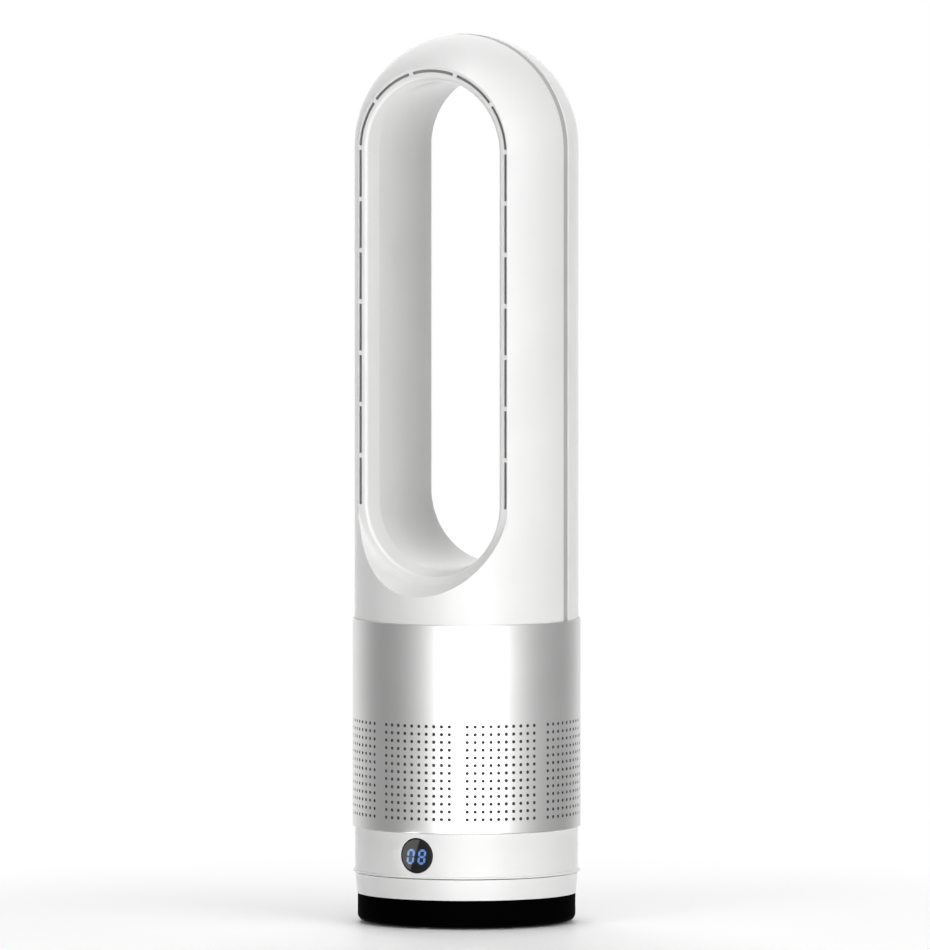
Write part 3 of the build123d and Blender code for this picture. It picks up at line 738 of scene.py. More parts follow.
# -------------------------------------------------------------- sub-assemblies
@dataclass
class Foot:
    """The black foot and the three screws under it.

    Each of screw_shares is a share of the head's radius and a height in millimetres
    above the foot's underside.
    """

    wall: float = 2.5 * MM
    low_round: float = 6.5 * MM
    top_round: float = 0.35 * MM
    inner_round: float = 2 * MM
    centre_hole: float = 2 * MM
    floor_thickness: float = 4.5 * MM
    mouth_inward: float = 12 * MM
    mouth_outward: float = 5 * MM
    mouth_steps: int = 48
    screw_circle: float = 86.0 * MM
    screw_degrees: tuple[float, ...] = (-90, 30, 150)
    screw_radius: float = 3.2 * MM
    screw_depth: float = 2 * MM
    screw_shares: tuple[Flat, ...] = ((0.0, 0.2), (0.6, 0.25), (0.9, 0.5), (1.0, 0.9))
    screw_steps: int = 32
    well_gap: float = 0.4 * MM
    recess_depth: float = 0.9 * MM
    recess_width: float = 0.45 * MM
    recess_share: float = 0.55

    def build(self, palette: Palette) -> None:
        """Makes the foot's shell and its three screws.

        Args:
            palette: the finishes.
        """
        low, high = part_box("foot_shell")
        radius = high.x
        floor = low.z + self.floor_thickness
        shell = lathe(
            "foot-shell",
            [
                (self.centre_hole, low.z, 0),
                (radius, low.z, self.low_round),
                (radius, high.z, self.top_round),
                (radius - self.wall, high.z, self.top_round),
                (radius - self.wall, floor, self.inner_round),
                (self.centre_hole, floor, 0),
            ],
        )
        mouth = (radius - self.mouth_inward, radius + self.mouth_outward)
        cutters = [drill("gland-mouth", GLAND_RADIUS, mouth, self.mouth_steps, about_y(GLAND_HEIGHT))]
        places = [polar(self.screw_circle, math.radians(turn)) for turn in self.screw_degrees]
        reach, well = self.screw_radius + self.well_gap, (low.z - MM, low.z + self.screw_depth)
        for place in places:
            cutters.append(drill("screw-well", reach, well, self.screw_steps, about_post(*place)))
        cut_with(shell, cutters)
        seat(shell, Body.BASE, Slot.BLACK, palette, ["foot_shell"])
        for index, (x, y) in enumerate(places):
            screw = self._screw(f"foot-screw-{index + 1}", x, y, low.z)
            seat(screw, Body.BASE, Slot.STEEL, palette)

    def _screw(self, name: str, x: float, y: float, base: float) -> bpy.types.Object:
        """One cross-recessed pan head in its well.

        Args:
            name: the piece's name.
            x: the screw's place.
            y: the screw's place.
            base: the level of the foot's underside.

        Returns:
            The screw.
        """
        head, top = self.screw_radius, base + self.screw_depth
        profile = [(head * share, base + rise * MM) for share, rise in self.screw_shares]
        screw = turned(name, [*profile, (head, top), (0.0, top)], self.screw_steps, about_post(x, y))
        arms = []
        half = (head * self.recess_share, self.recess_width)
        for u, v in (half, half[::-1]):
            corners = [(x - u, y - v), (x + u, y - v), (x + u, y + v), (x - u, y + v)]
            arm = MeshDraft()
            arm.bar([[(*corner, base + z) for corner in corners] for z in (-MM, self.recess_depth)])
            arms.append(arm.make("recess"))
        cut_with(screw, arms)
        return screw


@dataclass
class BaseCover:
    """The white collar between the foot and the turning column."""

    wall: float = 2.5 * MM
    base_radius: float = 99.3 * MM
    top_radius: float = 100.7 * MM
    edge_round: float = 0.6 * MM
    low_round: float = 0.4 * MM
    inner_round: float = 1.5 * MM
    deck: float = 45.4 * MM
    post_radius: float = 12.0 * MM
    post_bore: float = 7.0 * MM
    post_foot_round: float = 1.0 * MM
    post_tip_round: float = 0.3 * MM

    def build(self, palette: Palette) -> None:
        """Makes the collar with its deck and post.

        Args:
            palette: the finishes.
        """
        post_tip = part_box("base_cover")[1].z
        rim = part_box("foot_shell")[1].z
        inner, under = self.base_radius - self.wall, self.deck - self.wall
        collar = lathe(
            "base-cover",
            [
                (self.post_bore, under, 0),
                (inner, under, self.inner_round),
                (inner, rim, 0),
                (self.base_radius, rim, self.low_round),
                (self.top_radius, self.deck, self.edge_round),
                (self.post_radius, self.deck, self.post_foot_round),
                (self.post_radius, post_tip, self.post_tip_round),
                (self.post_bore, post_tip, self.post_tip_round),
            ],
        )
        seat(collar, Body.BASE, Slot.WHITE, palette, ["base_cover"])


@dataclass
class ControlRing:
    """The white ring with the display window and the power button's hole."""

    wall: float = 2.5 * MM
    radius: float = 101.0 * MM
    lip_height: float = 1.5 * MM
    lip_rise: float = 0.35 * MM
    lip_round: float = 0.45 * MM
    edge_round: float = 0.5 * MM
    step_round: float = 0.3 * MM
    button_hole: float = 6.35 * MM
    window_gap: float = 0.12 * MM
    cut_ends: Flat = (80 * MM, 110 * MM)
    cut_steps: int = 96
    bevel: float = 0.25 * MM
    bevel_degrees: float = 50

    def build(self, palette: Palette) -> None:
        """Makes the ring and cuts its two holes.

        Args:
            palette: the finishes.
        """
        low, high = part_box("control_ring")
        inner, lip = self.radius - self.wall, low.z + self.lip_height
        ring = lathe(
            "control-ring",
            [
                (inner, low.z, 0),
                (high.x, low.z, self.lip_round),
                (high.x, lip, self.edge_round),
                (self.radius, lip + self.lip_rise, self.step_round),
                (self.radius, high.z, self.edge_round),
                (inner, high.z, 0),
            ],
        )
        holes = (("window", LENS_RADIUS + self.window_gap, -1), ("button-hole", self.button_hole, 1))
        cutters = []
        for name, radius, side in holes:
            across = about_y(DISPLAY_HEIGHT, side)
            cutters.append(drill(name, radius, self.cut_ends, self.cut_steps, across))
        cut_with(ring, cutters)
        ease_edges(ring, self.bevel, angle_limit=math.radians(self.bevel_degrees))
        seat(ring, Body.COLUMN, Slot.WHITE, palette, ["control_ring"])


@dataclass
class Display:
    """The smoked lens and its two lit seven-segment digits.

    The face stays whole as far as the last of face_shares of the lens's radius. Each
    of edge_falls is a distance in from its edge and how far the face has fallen
    there, in millimetres.
    """

    face_radius: float = 101.4 * MM
    back_radius: float = 98.5 * MM
    lens_steps: int = 96
    face_shares: tuple[float, ...] = (0.0, 0.3, 0.6, 0.85)
    edge_falls: tuple[Flat, ...] = ((0.8, 0.0), (0.4, 0.06), (0.12, 0.22), (0.0, 0.45))
    digit_height: float = 13.8 * MM
    digit_width: float = 7.6 * MM
    stroke: float = 2.1 * MM
    gap: float = 0.3 * MM
    spacing: float = 11.2 * MM
    text_drop: float = 1.0 * MM
    slant_degrees: float = 7.0
    proud: float = 0.05 * MM
    sunk: float = 0.25 * MM
    text: str = "08"
    lit: dict[str, str] = field(default_factory=lambda: {"0": "abcdef", "8": "abcdefg"})

    def build(self, palette: Palette) -> None:
        """Makes the lens and the digits, which have finishes of their own.

        Args:
            palette: the shared finishes, of which the display takes none.
        """
        material = SmokedLens().make((0.0, -self.face_radius, DISPLAY_HEIGHT))
        seat(self._lens(), Body.COLUMN, Slot.WINDOW, material, ["display_lens"])
        glow = LitSegment().make()
        for index, digit in enumerate(self.text):
            offset = (index - (len(self.text) - 1) / 2) * self.spacing
            piece = self._digit(f"digit-{index + 1}", digit, offset)
            dress(piece, glow)
            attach(piece, Body.COLUMN.value)
        LOG.info("display: %s", self.text)

    def _on_face(self, u: float, v: float, lift: float) -> Point:
        """A point over the lens's face.

        Args:
            u: along the ring from the middle of the lens.
            v: above the middle of the lens.
            lift: how far in front of the face.

        Returns:
            The point.
        """
        radius = self.face_radius + lift
        return u, -math.sqrt(radius**2 - u**2), DISPLAY_HEIGHT + v

    def _lens(self) -> bpy.types.Object:
        """The disc, its face curved like the ring and its edge eased.

        Returns:
            The lens.
        """
        rings = [(LENS_RADIUS * share, 0.0) for share in self.face_shares]
        rings += [(LENS_RADIUS - inset * MM, -fall * MM) for inset, fall in self.edge_falls]
        angles = spread(0.0, FULL_TURN, self.lens_steps)[:-1]
        rows = swept(rings, angles, lambda radius, lift, angle: self._on_face(*polar(radius, angle), lift))
        rows.append([(x, -math.sqrt(self.back_radius**2 - x**2), z) for x, _, z in rows[-1]])
        draft = MeshDraft()
        draft.grid(rows, closed=True)
        draft.polygon(rows[-1])
        return draft.make("display-lens")

    def _segments(self) -> dict[str, list[Flat]]:
        """The six-sided outline of each of the seven segments.

        Returns:
            Each outline by the segment's letter.
        """
        half = self.stroke / 2
        right, top = self.digit_width / 2 - half, self.digit_height / 2 - half
        left, bottom = -right, -top
        ends = {
            "a": ((left, top), (right, top)),
            "b": ((right, top), (right, 0.0)),
            "c": ((right, 0.0), (right, bottom)),
            "d": ((left, bottom), (right, bottom)),
            "e": ((left, 0.0), (left, bottom)),
            "f": ((left, top), (left, 0.0)),
            "g": ((left, 0.0), (right, 0.0)),
        }
        outlines = {}
        for letter, (start, end) in ends.items():
            a, b = Vector(start), Vector(end)
            along = (b - a).normalized()
            across = Vector((-along.y, along.x)) * half
            a, b = a + along * self.gap, b - along * self.gap
            inner_a, inner_b = a + along * half, b - along * half
            corners = [a, inner_a + across, inner_b + across, b, inner_b - across, inner_a - across]
            outlines[letter] = [(c.x, c.y) for c in corners]
        return outlines

    def _digit(self, name: str, digit: str, offset: float) -> bpy.types.Object:
        """One digit of thin raised segments.

        Args:
            name: the piece's name.
            digit: which figure.
            offset: its place along the ring.

        Returns:
            The digit.
        """
        lean = math.tan(math.radians(self.slant_degrees))
        draft = MeshDraft()
        for letter, outline in self._segments().items():
            if letter in self.lit[digit]:
                places = [(offset + u + v * lean, v - self.text_drop) for u, v in outline]
                lifts = (self.proud, -self.sunk)
                draft.bar([[self._on_face(u, v, lift) for u, v in places] for lift in lifts])
        return draft.make(name)


@dataclass
class PowerButton:
    """The round push button at the rear, dished for a fingertip.

    The dish's floor turns up at dish_shares of the cap's radius and the dish's depth.
    """

    cap_radius: float = 6.0 * MM
    cap_round: float = 0.35 * MM
    collar_radius: float = 7.5 * MM
    collar_back: float = 96.2 * MM
    collar_front: float = 97.6 * MM
    stem_radius: float = 2.0 * MM
    stem_end: float = 94.8 * MM
    dish: float = 0.7 * MM
    dish_shares: Flat = (0.45, 0.8)
    dish_round: float = 1.5 * MM
    rim: float = 0.7 * MM
    rim_round: float = 0.4 * MM
    steps: int = 64

    def build(self, palette: Palette) -> None:
        """Makes the button.

        Args:
            palette: the finishes.
        """
        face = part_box("power_button")[1].y
        out, down = self.dish_shares
        corners = [
            (0.0, face - self.dish, 0),
            (self.cap_radius * out, face - self.dish * down, self.dish_round),
            (self.cap_radius - self.rim, face, self.rim_round),
            (self.cap_radius, face, self.cap_round),
            (self.cap_radius, self.collar_front, 0),
            (self.collar_radius, self.collar_front, 0),
            (self.collar_radius, self.collar_back, 0),
            (self.stem_radius, self.collar_back, 0),
            (self.stem_radius, self.stem_end, 0),
            (0.0, self.stem_end, 0),
        ]
        button = lathe("power-button", corners, self.steps, about_y(DISPLAY_HEIGHT))
        seat(button, Body.BUTTON, Slot.BUTTON, palette, ["power_button"])


@dataclass
class CordGland:
    """The rubber bush in the foot's rear wall."""

    bore: float = 3.3 * MM
    bore_round: float = 0.3 * MM
    mouth_round: float = 0.7 * MM
    inner_round: float = 0.4 * MM
    flange: float = 7.5 * MM
    flange_bite: float = 0.1 * MM
    flange_round: float = 0.8 * MM
    steps: int = 64

    def build(self, palette: Palette) -> None:
        """Makes the bush with its flange and its bore.

        Args:
            palette: the finishes.
        """
        low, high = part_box("cord_gland")
        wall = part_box("foot_shell")[1].y - self.flange_bite
        corners = [
            (self.bore, low.y, self.bore_round),
            (GLAND_RADIUS, low.y, self.inner_round),
            (GLAND_RADIUS, wall, 0),
            (self.flange, wall, self.bore_round),
            (self.flange, high.y, self.flange_round),
            (self.bore, high.y, self.mouth_round),
        ]
        gland = lathe("cord-gland", corners, self.steps, about_y(GLAND_HEIGHT))
        seat(gland, Body.BASE, Slot.GLAND, palette, ["cord_gland"])


@dataclass
class IntakeSleeve:
    """The silver sleeve with eight panels of small round holes."""

    wall: float = 1.5 * MM
    panels: int = 8
    columns: int = 10
    rows: int = 13
    column_degrees: float = 4.0
    row_pitch: float = 7.0 * MM
    first_row: float = 100.3 * MM
    hole_radius: float = 1.55 * MM
    cell_splits: int = 4
    edge_round: float = 0.5 * MM
    edge_steps: int = 4
    band_step: float = 12 * MM
    crease_degrees: float = 40.0
    net_gap: float = 0.15 * MM
    net_thickness: float = 0.4 * MM
    net_round: float = 0.1 * MM

    def build(self, palette: Palette) -> None:
        """Makes the perforated tube and the net behind it.

        Args:
            palette: the finishes.
        """
        low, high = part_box("intake_sleeve")
        outer, inner = high.x, high.x - self.wall
        bottom = self.first_row - self.row_pitch / 2
        top = bottom + self.rows * self.row_pitch
        column_turn = math.radians(self.column_degrees)
        step = column_turn / self.cell_splits
        panel_turn = FULL_TURN / self.panels
        half_panel = column_turn * self.columns / 2
        levels = range(self.rows * self.cell_splits + 1)
        heights = [bottom + self.row_pitch * n / self.cell_splits for n in levels]
        below = self._edge_heights(low.z, bottom, 1)
        above = self._edge_heights(high.z, top, -1)[::-1]
        turns = [-half_panel + step * n for n in range(round(FULL_TURN / step))]
        starts = [-half_panel + panel * panel_turn for panel in range(self.panels)]
        plain = range(round((panel_turn - 2 * half_panel) / step) + 1)
        draft = MeshDraft()
        for radius, drop in ((outer, 1.0), (inner, 0.0)):
            for band in (below, above):
                draft.grid(swept([(radius - drop * inset, z) for z, inset in band], turns), closed=True)
            for start in starts:
                strip = [start + 2 * half_panel + step * n for n in plain]
                draft.grid(swept([(radius, z) for z in heights], strip))
        for z, inset in (below[0], above[-1]):
            draft.grid(swept([(outer - inset, z), (inner, z)], turns), closed=True)
        for start in starts:
            for column in range(self.columns):
                middle = start + step * self.cell_splits * (column + 0.5)
                for row in range(self.rows):
                    self._cell(draft, outer, middle, self.first_row + row * self.row_pitch)
        sleeve = draft.make("intake-sleeve", self.crease_degrees)
        seat(sleeve, Body.COLUMN, Slot.SILVER, palette, ["intake_sleeve"])
        face = inner - self.net_gap
        back, ease = face - self.net_thickness, self.net_round
        corners = ((face, bottom), (face, top), (back, top), (back, bottom))
        net = lathe("dust-net", [(radius, z, ease) for radius, z in corners])
        seat(net, Body.COLUMN, Slot.INNER, palette.net)

    def _edge_heights(self, end: float, inner: float, sign: int) -> list[Flat]:
        """Levels of a plain band, with how far each lies in from the face.

        Args:
            end: the sleeve's end.
            inner: where the holed zone begins.
            sign: 1 at the bottom end and -1 at the top.

        Returns:
            (level, inset) from the end to the holed zone.
        """
        levels = [(end + sign * rise, inset) for inset, rise in quarter(self.edge_round, self.edge_steps)]
        count = max(2, round(abs(inner - end) / self.band_step))
        return levels + [(level, 0.0) for level in spread(levels[-1][0], inner, count)[1:]]

    def _cell(self, draft: MeshDraft, outer: float, middle: float, height: float) -> None:
        """One hole with the sheet round it, on both faces, and its wall.

        Args:
            draft: the sleeve's draft.
            outer: the sleeve's outer radius.
            middle: the hole's angle.
            height: the hole's level.
        """
        half_turn = math.radians(self.column_degrees) / 2
        half_rise = self.row_pitch / 2
        sheet, rim = [], []
        for side in range(4):
            for n in range(self.cell_splits):
                across, along = 1.0, -1.0 + 2.0 * n / self.cell_splits
                for _ in range(side):
                    across, along = -along, across
                lean = math.atan2(along * half_rise, across * half_turn * outer)
                rim_turn = self.hole_radius * math.cos(lean) / outer
                sheet.append((middle + across * half_turn, height + along * half_rise))
                rim.append((middle + rim_turn, height + self.hole_radius * math.sin(lean)))
        rims = []
        for radius in (outer, outer - self.wall):
            sheet_row, rim_row = ([about_z(radius, z, turn) for turn, z in row] for row in (sheet, rim))
            draft.grid([sheet_row, rim_row], closed=True)
            rims.append(rim_row)
        draft.grid(rims, closed=True)


@dataclass(frozen=True)
class Station:
    """One place along the loop: a cut straight across the nozzle there."""

    centre: float
    angle: float
    along: float

    @property
    def lift(self) -> float:
        """How far the cut points up, from -1 at the foot of the loop to 1 on top."""
        return math.sin(self.angle)

    @property
    def side(self) -> float:
        """How far the cut points sideways, from -1 to 1."""
        return math.cos(self.angle)

    def row(self, places: Iterable[Flat]) -> list[Point]:
        """Points of the cut in the row frame.

        Args:
            places: (distance from the loop's middle line, depth) of each.

        Returns:
            The points.
        """
        return [(radius * self.side, depth, self.centre + radius * self.lift) for radius, depth in places]


@dataclass
class LoopNozzle:
    """The tall loop: two hollow mouldings that part along one plane, and a liner between."""

    radius: float = 101.4 * MM
    loop_low: float = 385.5 * MM
    front: float = -67.9 * MM
    mouth_radius: float = 66.2 * MM
    mouth_round: float = 3.4 * MM
    throat_radius: float = 62.8 * MM
    throat: float = -50.1 * MM
    rear_radius: float = 64.7 * MM
    rear_round: float = 9.0 * MM
    arch_falls: Flat = (1.8 * MM, 3.0 * MM)
    bend_falls: Flat = (-1.7 * MM, 1.6 * MM)
    groove_front: float = -4.8 * MM
    groove_rear: float = 3.2 * MM
    groove_depth: float = 1.2 * MM
    front_edge_round: float = 1.6 * MM
    rear_edge_round: float = 0.5 * MM
    recess_radius: float = 75.9 * MM
    recess_degrees: float = 15.0
    scoop_degrees: float = 20.0
    slot_radius: float = 73.2 * MM
    slot_width: float = 2.7 * MM
    bridge: float = 4.2 * MM
    leg_slots: int = 7
    arch_slots: int = 5
    lowest_slot_end: float = 380.6 * MM
    wall: float = 1.6 * MM
    bend_step: float = 4.0 * MM
    leg_step: float = 16.0 * MM
    mouth_steps: int = 8
    lip_steps: int = 4
    wall_steps: int = 14
    roll_steps: int = 7
    skin_steps: int = 16
    groove_steps: int = 6
    recess_steps: int = 6
    scoop_steps: int = 8
    skirt_steps: int = 12
    halvings: int = 60
    sharp_degrees: float = 38
    edge_bevel: float = 0.22 * MM
    strip_proud: float = 0.2 * MM
    strip_sunk: float = 0.8 * MM
    strip_foot: float = 0.05 * MM
    guide_back: float = 3.2 * MM
    guide_thickness: float = 1.2 * MM
    guide_inner: float = 1.9 * MM
    guide_outer: float = 0.2 * MM

    def __post_init__(self) -> None:
        """Reads the overall sizes from the frame."""
        low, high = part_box("nozzle_front_shell")
        self.base = low.z
        self.dome = high.z - self.radius
        self.leg = self.dome - self.loop_low
        self.bend = math.pi * self.slot_radius
        self.low_start = 2 * self.leg + self.bend
        self.total = 2 * (self.leg + self.bend)
        self.crest_radius = math.sqrt(self.radius**2 - self.front**2)

    # ---- stations along the loop
    def _slots(self) -> list[Flat]:
        """Start and end of each air slot along the loop, from the right leg's foot.

        Returns:
            (start, end) of each.
        """
        pitch = (self.dome - self.lowest_slot_end + self.bridge / 2) / self.leg_slots
        half = self.bridge / 2
        slots = []
        for n in range(self.leg_slots):
            start, end = n * pitch + half, (n + 1) * pitch - half
            slots.append((self.leg - end, self.leg - start))
            slots.append((self.leg + self.bend + start, self.leg + self.bend + end))
        for n in range(self.arch_slots):
            arc = self.bend / self.arch_slots
            slots.append((self.leg + n * arc + half, self.leg + (n + 1) * arc - half))
        return slots

    def _station(self, along: float) -> Station:
        """The cut at a distance along the loop.

        Args:
            along: distance from the right leg's foot, up, over and round.

        Returns:
            The station.
        """
        way = along % self.total
        if way <= self.leg:
            return Station(self.loop_low + way, 0.0, along)
        way -= self.leg
        if way <= self.bend:
            return Station(self.dome, way / self.slot_radius, along)
        way -= self.bend
        if way <= self.leg:
            return Station(self.dome - way, math.pi, along)
        way -= self.leg
        return Station(self.loop_low, math.pi + way / self.slot_radius, along)

    def _stations(self) -> list[Station]:
        """Every station round the loop.

        Returns:
            The stations; the last is the first once more.
        """
        recess = self.slot_radius * math.acos(self.crest_radius / self.recess_radius)
        marks = {0.0, self.leg, self.leg + self.bend, self.low_start, self.total}
        marks.update({self.low_start + recess, self.total - recess})
        for start, end in self._slots():
            marks.update({start % self.total, end % self.total})
        stations = []
        for start, end in pairwise(sorted(marks)):
            on_leg = abs(self._station((start + end) / 2).lift) < TINY
            count = max(1, math.ceil((end - start) / (self.leg_step if on_leg else self.bend_step)))
            stations += [self._station(along) for along in spread(start, end, count)[:-1]]
        return [*stations, self._station(self.total)]

    def _upper(self, stations: Sequence[Station]) -> list[Station]:
        """The stations of the legs and the arch, both ends included."""
        return [s for s in stations if s.along <= self.low_start + TINY]

    def _lower(self, stations: Sequence[Station]) -> list[Station]:
        """The stations of the loop's lower bend, both ends included."""
        return [s for s in stations if s.along >= self.low_start - TINY]

    def _in_slot(self, first: Station, second: Station) -> bool:
        """Whether the stretch between two stations lies in an air slot.

        Args:
            first: where the stretch begins.
            second: where it ends.

        Returns:
            True in a slot, False on a bridge.
        """
        middle = (first.along + second.along) / 2
        shifts = (0.0, self.total)
        return any(start < middle - shift < end for start, end in self._slots() for shift in shifts)

    # ---- the cut's profile
    def _edge_radius(self, station: Station) -> float:
        """Where the flat face ring ends, at the outer skin or at the recess.

        Args:
            station: the cut.

        Returns:
            The radius.
        """
        if station.lift >= -TINY:
            return self.crest_radius
        return min(self.recess_radius, self.crest_radius / max(TINY, abs(station.side)))

    def _fall(self, station: Station, share: float) -> float:
        """How far the opening's outline lies in from a plain loop's, by its arch and lower bend.

        Args:
            station: the cut.
            share: the place from the mouth, 0, to the rear round, 1.

        Returns:
            The distance, negative where the outline lies outside.
        """
        front, rear = self.arch_falls if station.lift > 0 else self.bend_falls
        return (front + (rear - front) * share) * abs(station.lift)

    def _front_crest(self, station: Station) -> Flat:
        """Where the front recess or the face ring meets the outer skin.

        Args:
            station: the cut.

        Returns:
            (radius, depth) of the meeting point.
        """
        if self._edge_radius(station) < self.recess_radius - TINY:
            return self._edge_radius(station), self.front
        slope = math.tan(math.radians(self.recess_degrees))
        return self._meet_skin(station, (self.recess_radius, self.front), slope, -1)

    def _meet_skin(self, station: Station, start: Flat, slope: float, side: int) -> Flat:
        """Where a flaring wall of a cut meets the round outer skin.

        Args:
            station: the cut.
            start: (radius, depth) where the wall begins.
            slope: how much radius the wall gains with depth.
            side: -1 toward the front and 1 toward the rear.

        Returns:
            (radius, depth) of the meeting point.
        """
        low, high = 0.0, 2 * self.radius
        for _ in range(self.halvings):
            reach = (low + high) / 2
            radius, depth = start[0] + slope * reach, start[1] + side * reach
            if (radius * station.side) ** 2 + depth**2 < self.radius**2:
                low = reach
            else:
                high = reach
        return start[0] + slope * low, start[1] + side * low

    def _rear_centre(self, station: Station) -> tuple[Flat, float]:
        """Centre of the rear edge's round.

        Args:
            station: the cut.

        Returns:
            (radius, depth) of the centre, and the direction from it in which the
            round runs out into the outer skin.
        """
        centre = self.rear_radius - self._fall(station, 1.0) + self.rear_round
        level = centre if station.lift > 0 else self.rear_radius + self.rear_round
        depth = math.sqrt((self.radius - self.rear_round) ** 2 - level**2)
        return (centre, depth), math.atan2(depth, level)

    def _rear_edge(self, station: Station, start: float, end: float) -> list[Flat]:
        """A stretch of the rear edge's round.

        Args:
            station: the cut.
            start: the first direction from the round's centre.
            end: the last direction.

        Returns:
            (radius, depth) points.
        """
        (radius, depth), _ = self._rear_centre(station)
        turned_to = [polar(self.rear_round, turn) for turn in spread(start, end, self.roll_steps)]
        return [(radius + out, depth + back) for out, back in turned_to]

    def _throat(self, station: Station) -> Flat:
        """Where the lip strip ends and the inner wall begins.

        Args:
            station: the cut.

        Returns:
            (radius, depth) of the place.
        """
        share = (self.throat - self.front) / (-self.front + self._rear_centre(station)[0][1])
        return self.throat_radius - self._fall(station, share), self.throat

    def _lip(self, station: Station) -> list[Flat]:
        """The mouth's round and the lip strip behind it, up to the throat.

        Args:
            station: the cut.

        Returns:
            (radius, depth) points.
        """
        mouth = self.mouth_radius - self._fall(station, 0.0)
        arc = [(mouth + u, self.front + v) for u, v in quarter(self.mouth_round, self.mouth_steps)]
        return arc + straight(arc[-1], self._throat(station), self.lip_steps)[1:]

    def _liner_row(self, station: Station) -> list[Point]:
        """The long inner wall from the throat, rolled as far as the rear crest.

        Args:
            station: the cut.

        Returns:
            The points, from the front to the rear.
        """
        roll = self._rear_edge(station, math.pi, QUARTER_TURN)
        return station.row(straight(self._throat(station), roll[0], self.wall_steps) + roll[1:])

    # ---- skins
    def _side_arc(self, station: Station, start: float, end: float) -> list[Point]:
        """Points on the round outer skin of a cut on a leg or the arch.

        Args:
            station: the cut.
            start: the first polar angle.
            end: the last polar angle.

        Returns:
            The points.
        """
        return station.row(polar(self.radius, turn) for turn in spread(start, end, self.skin_steps))

    def _groove_side(self, station: Station, edge: float, ease: float, side: int) -> list[Point]:
        """The rounded edge of a moulding at the seam and its wall down into the groove.

        Args:
            station: the cut.
            edge: the depth, front to rear, at which the moulding ends.
            ease: the radius of its edge.
            side: -1 for the front moulding and 1 for the rear one.

        Returns:
            The points, from the skin to the groove's floor.
        """
        places = []
        for back, drop in quarter(ease, self.groove_steps):
            radius = self.radius - drop
            places.append(polar(radius, math.asin((edge + side * back) / radius)))
        floor = self.radius - self.groove_depth
        return station.row([*places, polar(floor, math.asin(edge / floor))])

    def _front_side(self, station: Station) -> list[Point]:
        """The front moulding's outer skin at a cut.

        Args:
            station: the cut.

        Returns:
            The points, from the crest into the seam's groove.
        """
        crest = math.atan2(self.front, self.crest_radius)
        end = math.asin((self.groove_front - self.front_edge_round) / self.radius)
        edge = self._groove_side(station, self.groove_front, self.front_edge_round, -1)
        return self._side_arc(station, crest, end)[:-1] + edge

    def _rear_side(self, station: Station) -> list[Point]:
        """The rear moulding's outer skin at a cut.

        Args:
            station: the cut.

        Returns:
            The points, from the seam's groove to the rear edge.
        """
        start = math.asin((self.groove_rear + self.rear_edge_round) / self.radius)
        arc = self._side_arc(station, start, self._rear_centre(station)[1])
        edge = self._groove_side(station, self.groove_rear, self.rear_edge_round, 1)
        return edge[::-1] + arc[1:]

    def _front_draft(self, stations: Sequence[Station]) -> MeshDraft:
        """The front moulding's skin: slotted face ring, lip, recess and outer wall.

        Args:
            stations: the stations round the loop.

        Returns:
            The skin.
        """
        draft = MeshDraft()
        half = self.slot_width / 2
        for pair in pairwise(stations):
            rings = []
            for s in pair:
                fall = self._fall(s, 0.0)
                slot = self.slot_radius - max(0.0, fall)
                mouth = self.mouth_radius + self.mouth_round - fall
                radii = (self._edge_radius(s), slot + half, slot - half, mouth)
                rings.append(s.row((radius, self.front) for radius in radii))
            for band in range(3):
                if band != 1 or not self._in_slot(*pair):
                    draft.grid([ring[band : band + 2] for ring in rings])
        draft.grid([s.row(self._lip(s)) for s in stations])
        draft.grid([self._front_side(s) for s in self._upper(stations)])
        low = self._lower(stations)
        rows = []
        for s in low:
            edge = (self._edge_radius(s), self.front)
            rows.append(s.row(straight(edge, self._front_crest(s), self.recess_steps)))
        draft.grid(rows)
        outer = [s for s in low if self._edge_radius(s) > self.recess_radius - TINY]
        self._skirt(draft, [self._crest_point(s) for s in outer])
        for way in (low, low[::-1]):
            beside = takewhile(lambda s: abs(s.side) * self.recess_radius > self.crest_radius - TINY, way)
            levels = [self._crest_point(s)[2] for s in beside]
            rest = spread(levels[-1], self.base, self.skirt_steps)[1:]
            top = self._front_side(way[0])
            draft.grid([[(x, y, level) for x, y, _ in top] for level in [*levels, *rest]])
        return draft

    def _crest_point(self, station: Station) -> Point:
        """The front crest of a cut, as a point in the row frame."""
        return station.row([self._front_crest(station)])[0]

    def _liner_draft(self, stations: Sequence[Station]) -> MeshDraft:
        """The liner's skin: the opening's long inner wall and its rolled rear edge.

        Args:
            stations: the stations round the loop.

        Returns:
            The skin.
        """
        draft = MeshDraft()
        draft.grid([self._liner_row(s) for s in stations])
        return draft

    def _rear_draft(self, stations: Sequence[Station]) -> MeshDraft:
        """The rear moulding's skin: rear edge, scoop and outer wall.

        Args:
            stations: the stations round the loop.

        Returns:
            The skin.
        """
        draft = MeshDraft()
        rolls = {s: self._rear_edge(s, QUARTER_TURN, self._rear_centre(s)[1]) for s in stations}
        draft.grid([s.row(rolls[s]) for s in stations])
        draft.grid([self._rear_side(s) for s in self._upper(stations)])
        low = self._lower(stations)
        slope = math.tan(math.radians(self.scoop_degrees))
        rows = []
        for s in low:
            start = rolls[s][-1]
            rows.append(s.row(straight(start, self._meet_skin(s, start, slope, 1), self.scoop_steps)))
        draft.grid(rows)
        for top in ([row[-1] for row in rows], self._rear_side(low[0]), self._rear_side(low[-1])):
            self._skirt(draft, top)
        return draft

    def _skirt(self, draft: MeshDraft, top: Sequence[Point]) -> None:
        """Adds the upright outer skin from a curve down to the nozzle's base."""
        draft.grid([[(x, y, level) for level in spread(z, self.base, self.skirt_steps)] for x, y, z in top])

